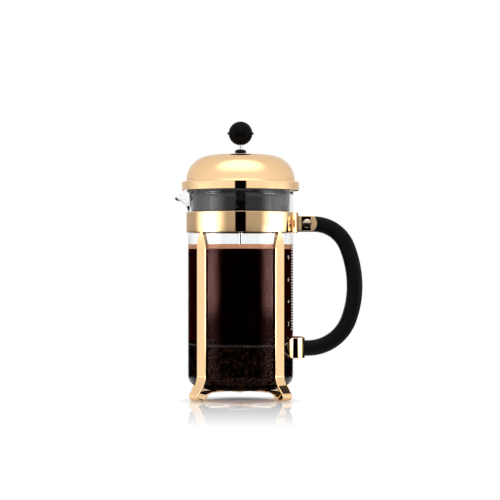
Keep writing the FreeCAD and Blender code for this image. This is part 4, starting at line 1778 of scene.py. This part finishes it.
@dataclass
class Plunger:
    """The knob, the rod and the filter stack."""

    rod_radius: float = 2.0
    rod_low: float = 40.6
    rod_in_knob: float = 2.8
    groove_at: float = 53.6
    groove_depth: float = 0.25
    chamfer: float = 0.4
    knob_z: float = 237.6
    knob_radius: float = 10.7
    ring_radius: float = 12.0
    seam: float = 0.98
    filter_z: float = 47.95
    coil_at: float = 43.15
    coil_reach: float = 2.4
    wire: float = 0.35
    turns: int = 108
    turn_steps: int = 18

    def rod(self, material: bpy.types.Material) -> bpy.types.Object:
        """The straight rod with its chamfered, grooved end.

        Args:
            material: its finish.

        Returns:
            The rod.
        """
        r, low, top = self.rod_radius, self.rod_low, self.knob_z + self.rod_in_knob
        neck, end, groove = r - self.groove_depth, r - self.chamfer, self.groove_at
        profile = [
            (0, low), (end, low), (r, low + self.chamfer), (r, groove - 0.4), (neck, groove - 0.25),
            (neck, groove + 0.25), (r, groove + 0.4), (r, 130.0), (r, 200.0), (r, top - self.chamfer),
            (end, top), (0, top),
        ]
        shell = Shell()
        lathe(shell, profile, steps=48)
        return shell.piece("steel_rod", material, sharp_deg=35)

    def knob_top(self, material: bpy.types.Material) -> bpy.types.Object:
        """The knob's upper half, closed underneath.

        Args:
            material: its finish.

        Returns:
            The upper half.
        """
        start = math.degrees(math.asin(self.seam / self.knob_radius))
        profile: list[Flat] = [(0.0, self.knob_z + self.seam), (9.0, self.knob_z + self.seam)]
        profile += arc((0, self.knob_z), self.knob_radius, start, 90, 30)
        profile[-1] = (0.0, self.knob_z + self.knob_radius)
        shell = Shell()
        lathe(shell, profile, steps=96)
        return shell.piece("knob_cap", material, sharp_deg=40)

    def knob_bowl(self, material: bpy.types.Material) -> bpy.types.Object:
        """The knob's lower half with the ring round its equator and the rod's hole.

        Args:
            material: its finish.

        Returns:
            The lower half.
        """
        z, r, ring = self.knob_z, self.knob_radius, self.ring_radius
        hole = self.rod_radius + 0.02
        low_deg = math.degrees(math.acos(hole / r))
        under = math.degrees(math.asin(1.35 / r))
        profile: list[Flat] = arc((0, z), r, -low_deg, -under, 24)
        profile += [(11.6, z - 0.75), (11.9, z - 0.5), (ring, z - 0.25), (ring, z + 0.25)]
        profile += [(11.9, z + 0.5), (11.5, z + 0.75), (11.0, z + 0.9), (hole, z + 0.9)]
        shell = Shell()
        lathe(shell, profile, steps=96, closed=True)
        return shell.piece("knob_bowl", material, sharp_deg=40)

    def coil(self, material: bpy.types.Material) -> bpy.types.Object:
        """The wiping coil: one wire wound round the filter's edge, made by a recipe.

        Args:
            material: its finish.

        Returns:
            The coil.
        """
        recipe = Recipe("edge_winding")
        recipe.size("Ring Radius", self.coil_at * MM)
        recipe.size("Coil Radius", (self.coil_reach - self.wire) * MM)
        recipe.size("Height", self.filter_z * MM)
        recipe.size("Wire", self.wire * MM)
        recipe.size("Turns", self.turns, "Int")
        recipe.size("Steps", self.turns * self.turn_steps, "Int")
        line = recipe.feed(
            recipe.node("GeometryNodeMeshCircle", fill_type="NONE"),
            Vertices=recipe.read("Steps"),
            Radius=recipe.read("Ring Radius"),
        )
        index = recipe.node("GeometryNodeInputIndex").outputs["Index"]
        share = recipe.maths("DIVIDE", index, recipe.read("Steps"))
        about = recipe.maths("MULTIPLY", share, 2 * math.pi)
        wound = recipe.maths("MULTIPLY", about, recipe.read("Turns"))
        out = recipe.maths("MULTIPLY", recipe.maths("COSINE", wound), recipe.read("Coil Radius"))
        up = recipe.maths("MULTIPLY", recipe.maths("SINE", wound), recipe.read("Coil Radius"))
        radius = recipe.maths("ADD", out, recipe.read("Ring Radius"))
        spot = recipe.node("ShaderNodeCombineXYZ")
        recipe.feed(
            spot,
            X=recipe.maths("MULTIPLY", radius, recipe.maths("COSINE", about)),
            Y=recipe.maths("MULTIPLY", radius, recipe.maths("SINE", about)),
            Z=recipe.maths("ADD", up, recipe.read("Height")),
        )
        moved = recipe.feed(
            recipe.node("GeometryNodeSetPosition"),
            Geometry=line.outputs["Mesh"],
            Position=spot.outputs["Vector"],
        )
        curve = recipe.feed(recipe.node("GeometryNodeMeshToCurve"), Mesh=moved.outputs["Geometry"])
        section = recipe.feed(
            recipe.node("GeometryNodeCurvePrimitiveCircle"), Resolution=7, Radius=recipe.read("Wire")
        )
        wire = recipe.feed(
            recipe.node("GeometryNodeCurveToMesh"),
            Curve=curve.outputs["Curve"],
            Profile_Curve=section.outputs["Curve"],
        )
        recipe.close(wire.outputs["Mesh"], material, True)
        return recipe.bake("wiping_coil")

    def build(self) -> None:
        """Makes the plunger."""
        bright = DrawnSteel(
            "rod_steel", shade=0.80, polish=(0.06, 0.14), lines=(5.0, 5.0, 0.08), depth_mm=0.002
        ).material()
        rolled = (1.5, 1.5, 1.5)
        # painted shade: the coil's steel (0.30) and the spiral plate's steel (0.06) are darker copies of the
        # filter's steel (0.66), standing in for the dim inside the coffee
        wire = DrawnSteel("coil_steel_painted_shade", shade=0.30, polish=(0.25, 0.4), lines=rolled).material()
        sheet = DrawnSteel("filter_steel", shade=0.66, polish=(0.14, 0.30), lines=rolled).material()
        dark = DrawnSteel("plate_steel_painted_shade", shade=0.06, polish=(0.25, 0.4), lines=rolled).material()
        plastic = MouldedBlack(
            "knob_black", tone=0.0030, gloss=0.04, roughness=(0.40, 0.52), grain_mm=0.012, grain_scale=2.4
        ).material()
        fit(self.rod(bright), Body.PLUNGER, ["plunger_rod"])
        fit(self.knob_top(plastic), Body.PLUNGER, ["knob_upper"])
        fit(self.knob_bowl(plastic), Body.PLUNGER, ["knob_lower"])
        fit(self.coil(wire), Body.PLUNGER, ["edge_coil"])
        for node in ("cross_plate", "rod_nut"):
            refinish(node, sheet)
        refinish("spiral_plate", dark)
        refinish("mesh_filter", WovenSteel().material())


# ---- studio -----------------------------------------------------------------------------------------


@dataclass
class Studio:
    """The floor, the light and the camera."""

    camera_height: float = 119.2
    distance: float = 1530.0
    turn_deg: float = 0.0
    axis_left: float = 8.5
    horizon_low: float = 13.5
    view_width: float = 450.0
    floor_radius: float = 450.0
    mirror_near: float = 30.0
    mirror_far: float = 290.0
    mirror_share: float = 0.68
    # painted shadow under the press: how far in front of the axis its patch is centred, where it starts to
    # fade, where it is gone, and how much it dims the mirror there
    shade_front: float = 36.0
    shade_near: float = 26.0
    shade_far: float = 58.0
    shade_depth: float = 0.75
    table_near: float = 110.0
    table_far: float = 190.0
    table_glow: float = 1.02
    table_haze_scale: float = 9.0
    table_haze: Flat = (0.03, 0.06)
    # the painted shadow's colour
    painted_shadow_tone: Shade = (0.30, 0.20, 0.16, 1.0)

    def camera(self) -> None:
        """A level camera in front, shifted so the press stands right of its view's middle."""
        data = bpy.data.cameras.new("camera")
        data.sensor_width = 36.0
        data.lens = data.sensor_width * self.distance / self.view_width
        data.shift_x = self.axis_left / self.view_width
        data.shift_y = self.horizon_low / self.view_width
        data.clip_start, data.clip_end = 0.05, 100.0
        camera = bpy.data.objects.new("camera", data)
        bpy.context.scene.collection.objects.link(camera)
        a = math.radians(self.turn_deg)
        camera.location = (
            self.distance * math.sin(a) * MM,
            -self.distance * math.cos(a) * MM,
            self.camera_height * MM,
        )
        camera.rotation_euler = (math.radians(90), 0, a)
        bpy.context.scene.camera = camera

    def floor(self) -> None:
        """A round table under the press."""
        mesh = bpy.data.meshes.new("floor")
        rim = [(x * MM, y * MM, 0.0) for x, y, _ in around(self.floor_radius, 0, even_turn(96))]
        mesh.from_pydata(rim, [], [list(range(len(rim)))])
        obj = bpy.data.objects.new("floor", mesh)
        bpy.context.scene.collection.objects.link(obj)
        mesh.materials.append(self.floor_white())

    def floor_white(self) -> bpy.types.Material:
        """Glowing white with a painted shadow under the press, a mirror near the middle, and hidden from far
        mirrored rays.

        Returns:
            The table's finish.
        """
        net = ShaderNet("floor_white")
        place = net.node("TexCoord").outputs["Object"]
        reach = net.length(place)
        matt = net.node("Emission")
        matt.inputs["Color"].default_value = grey(1.0)
        matt.inputs["Strength"].default_value = self.table_glow
        mirror = net.node("BsdfGlossy")
        mirror.inputs["Color"].default_value = grey(1.0)
        haze = net.noise(place, self.table_haze_scale)
        net.link(net.spread(haze, *self.table_haze), mirror.inputs["Roughness"])
        # painted shadow: inside its patch the glow gives way to a dark brown diffuse surface and the mirror
        # is dimmed, standing in for the shade under the press
        under = net.node("BsdfDiffuse")
        under.inputs["Color"].default_value = self.painted_shadow_tone
        shift = net.node("VectorMath", operation="ADD")
        shift.inputs[1].default_value = (0.0, self.shade_front * MM, 0.0)
        net.link(place, shift.inputs[0])
        shaded = (self.shade_near * MM, self.shade_far * MM)
        painted_shadow_zone = net.spread(net.length(shift.outputs["Vector"]), 1.0, 0.0, shaded)
        surface = net.mix(painted_shadow_zone, matt.outputs["Emission"], under.outputs["BSDF"])
        share = net.spread(reach, self.mirror_share, 0.0, (self.mirror_near * MM, self.mirror_far * MM))
        glossy = net.maths("MULTIPLY", share, net.maths("MULTIPLY_ADD", painted_shadow_zone, -self.shade_depth, 1.0))
        both = net.mix(glossy, surface, mirror.outputs["BSDF"])
        unseen = net.maths("SUBTRACT", 1.0, net.node("LightPath").outputs["Is Camera Ray"])
        far = net.spread(reach, 0.0, 1.0, (self.table_near * MM, self.table_far * MM))
        clear = net.node("BsdfTransparent").outputs["BSDF"]
        net.link(net.mix(net.maths("MULTIPLY", unseen, far), both, clear), net.output.inputs["Surface"])
        return net.material

    def light(self) -> None:
        """A white room with two tall soft boxes, one overhead and a dark gap in front."""
        scene = bpy.context.scene
        scene.world = bpy.data.worlds.new("studio")
        scene.world.use_nodes = True
        tree = scene.world.node_tree
        tree.nodes.clear()
        room = StudioRoom(tree)
        room.build(math.radians(self.turn_deg))
        scene.view_settings.view_transform = "Standard"

    def build(self) -> None:
        """Sets up the shot."""
        self.camera()
        self.floor()
        self.light()


class StudioRoom(NodeWork):
    """The room's brightness by direction, as the world's shader."""

    # all bearings are in degrees, 0 where the camera stands and 180 behind the press
    CARD_EDGE: Flat = (10.2, 12.2)
    # (bearing, half width kept, half width faded out, brightness) of the soft boxes the band mirrors
    BAND_BOXES: tuple[Box, ...] = ((-70, 0, 44, 3.0), (82, 3, 42, 3.0))
    BAND_REST: float = 0.49
    # the same boxes lower down, where the beaker mirrors them
    BEAKER_BOXES: tuple[Box, ...] = ((-70, 4, 30, 10.0), (70, 4, 30, 11.0))
    BOX_FAR_EDGE: Flat = (79, 85)
    # (rise from, full from, full to, gone by, brightness) of the strips that the legs mirror
    LEG_GLOW: tuple[float, ...] = (76, 84, 96, 108, 1.05)
    # the lid's rim: its brightness in front, and (from, to, drop) of its fall towards the sides
    RIM_REST: float = 1.1
    RIM_SIDES: Point = (86, 128, 0.42)
    BACK: Flat = (152, 163)
    CARD_TOP_DEG: float = 4.6
    CARD_FADE_DEG: float = 3.5
    LOW_TO_MID_DEG: Flat = (0.95, 1.15)
    MID_TO_HIGH_DEG: Flat = (2.25, 2.45)
    BOX_FOOT_DEG: Flat = (-3.4, -2.2)
    BOX_FORWARD: float = 0.36
    BOX_REACH: Flat = (0.78, 0.56)
    BOX_GAIN: float = 1.25
    BOX_FOOT_REST: float = 0.15
    # the room above eye level: its brightness, its fall towards the back, and the white behind the press
    ABOVE: float = 0.92
    ABOVE_FALL: float = 0.17
    ABOVE_BACK: Flat = (0.90, 0.97)
    # rays that leave the glass see plain white, except low ones back towards the camera
    LOW_UP: float = 0.12
    TOWARDS_CAMERA: float = -0.3

    def eased(self, value: bpy.types.NodeSocket, low: float, high: float) -> bpy.types.NodeSocket:
        """0 below low, 1 above high, eased between.

        Args:
            value: what to read.
            low: where the result is still 0.
            high: where it has reached 1.

        Returns:
            The result's socket.
        """
        made = self.node("MapRange", interpolation_type="SMOOTHSTEP")
        made.inputs["From Min"].default_value = low
        made.inputs["From Max"].default_value = high
        self.link(value, made.inputs["Value"])
        return made.outputs["Result"]

    def between(
        self, low: bpy.types.NodeSocket, high: bpy.types.NodeSocket, share: bpy.types.NodeSocket
    ) -> bpy.types.NodeSocket:
        """Goes from one value to another by a share."""
        return self.maths("ADD", low, self.maths("MULTIPLY", self.maths("SUBTRACT", high, low), share))

    def boxes(self, bearing: bpy.types.NodeSocket, boxes: Sequence[Box]) -> bpy.types.NodeSocket:
        """The light of upright soft boxes, each brightest at its own bearing.

        Args:
            bearing: the ray's bearing.
            boxes: bearing, half width kept, half width faded out, and brightness of each.

        Returns:
            The brightness.
        """
        total = None
        for middle, kept, faded, brightness in boxes:
            off = self.maths("ABSOLUTE", self.maths("SUBTRACT", bearing, float(middle)))
            glow = self.maths("MULTIPLY_ADD", self.eased(off, kept, faded), -brightness, brightness)
            total = glow if total is None else self.maths("ADD", total, glow)
        return total

    def eye_level(self, radians: bpy.types.NodeSocket, up: bpy.types.NodeSocket) -> bpy.types.NodeSocket:
        """The room near eye level: what the beaker, the band and the lid's rim mirror, one above another.

        Args:
            radians: the bearing, 0 towards the camera.
            up: the sine of the elevation.

        Returns:
            The brightness.
        """
        to_mid, to_high, foot = (
            self.eased(up, *(math.sin(math.radians(d)) for d in span))
            for span in (self.LOW_TO_MID_DEG, self.MID_TO_HIGH_DEG, self.BOX_FOOT_DEG)
        )
        bearing = self.maths("MULTIPLY", radians, math.degrees(1.0))
        side = self.maths("ABSOLUTE", bearing)
        back = self.eased(side, *self.BACK)
        near, full, still, gone, glow = self.LEG_GLOW
        legs = self.maths("SUBTRACT", self.eased(side, near, full), self.eased(side, still, gone))
        kept = self.maths("SUBTRACT", 1.0, self.eased(side, *self.BOX_FAR_EDGE))
        rest = self.BOX_FOOT_REST
        beaker = self.maths("MULTIPLY", self.boxes(bearing, self.BEAKER_BOXES), kept)
        beaker = self.maths("MULTIPLY", beaker, self.maths("MULTIPLY_ADD", foot, 1 - rest, rest))
        beaker = self.maths("MULTIPLY_ADD", legs, glow, beaker)
        beaker = self.maths("MAXIMUM", beaker, back)
        band = self.maths("ADD", self.boxes(bearing, self.BAND_BOXES), self.BAND_REST)
        band = self.maths("MAXIMUM", band, back)
        start, stop, drop = self.RIM_SIDES
        rim = self.maths("MULTIPLY_ADD", self.eased(side, start, stop), -drop, self.RIM_REST)
        rim = self.maths("MAXIMUM", rim, back)
        level = self.between(self.between(beaker, band, to_mid), rim, to_high)
        return self.maths("MULTIPLY", level, self.eased(side, *self.CARD_EDGE))

    def build(self, turn: float) -> None:
        """Joins the room: eye level, overhead, and plain white straight behind the press.

        Args:
            turn: the camera's turn about Z, in radians.
        """
        place = self.node("TexCoord")
        rotate = self.node("VectorRotate", rotation_type="Z_AXIS")
        rotate.inputs["Angle"].default_value = -turn
        self.link(place.outputs["Generated"], rotate.inputs["Vector"])
        split = self.node("SeparateXYZ")
        self.link(rotate.outputs["Vector"], split.inputs["Vector"])
        across, away, up = (split.outputs[axis] for axis in ("X", "Y", "Z"))
        bearing = self.maths("ARCTAN2", across, self.maths("MULTIPLY", away, -1.0))
        level = self.eye_level(bearing, up)
        above = self.maths("SUBTRACT", self.ABOVE, self.maths("MULTIPLY", away, self.ABOVE_FALL))
        above = self.maths("MAXIMUM", above, self.eased(away, *self.ABOVE_BACK))
        low = math.sin(math.radians(self.CARD_TOP_DEG))
        high = math.sin(math.radians(self.CARD_TOP_DEG + self.CARD_FADE_DEG))
        share = self.eased(up, low, high)
        lower = self.maths("MULTIPLY", level, self.maths("SUBTRACT", 1.0, share))
        room = self.maths("ADD", lower, self.maths("MULTIPLY", above, share))
        wide, deep = self.BOX_REACH
        off = self.maths("DIVIDE", self.maths("ADD", away, self.BOX_FORWARD), deep)
        side = self.maths("DIVIDE", across, wide)
        far = self.maths("ADD", self.maths("MULTIPLY", off, off), self.maths("MULTIPLY", side, side))
        box = self.eased(self.maths("SUBTRACT", 1.0, far), 0.0, 1.0)
        box = self.maths("MULTIPLY", box, self.maths("GREATER_THAN", up, 0.0))
        room = self.maths("ADD", room, self.maths("MULTIPLY", box, self.BOX_GAIN))
        rays = self.node("LightPath")
        steep = self.maths("GREATER_THAN", self.maths("ABSOLUTE", up), self.LOW_UP)
        behind = self.maths("MAXIMUM", self.maths("GREATER_THAN", away, self.TOWARDS_CAMERA), steep)
        through = self.maths("MULTIPLY", rays.outputs["Is Transmission Ray"], behind)
        plain = self.maths("MAXIMUM", rays.outputs["Is Camera Ray"], through)
        strength = self.maths("ADD", self.maths("MULTIPLY", room, self.maths("SUBTRACT", 1.0, plain)), plain)
        glow = self.node("Background")
        glow.inputs["Color"].default_value = grey(1.0)
        self.link(strength, glow.inputs["Strength"])
        output = self.node("OutputWorld")
        self.link(glow.outputs["Background"], output.inputs["Surface"])


def main() -> None:
    """Builds the press and its studio."""
    logging.basicConfig(level=logging.INFO, format="%(name)s: %(message)s")
    for part in (Studio(), Beaker(), StrapFrame(), Handle(), Lid(), Plunger()):
        part.build()


if __name__ == "__main__":
    main()
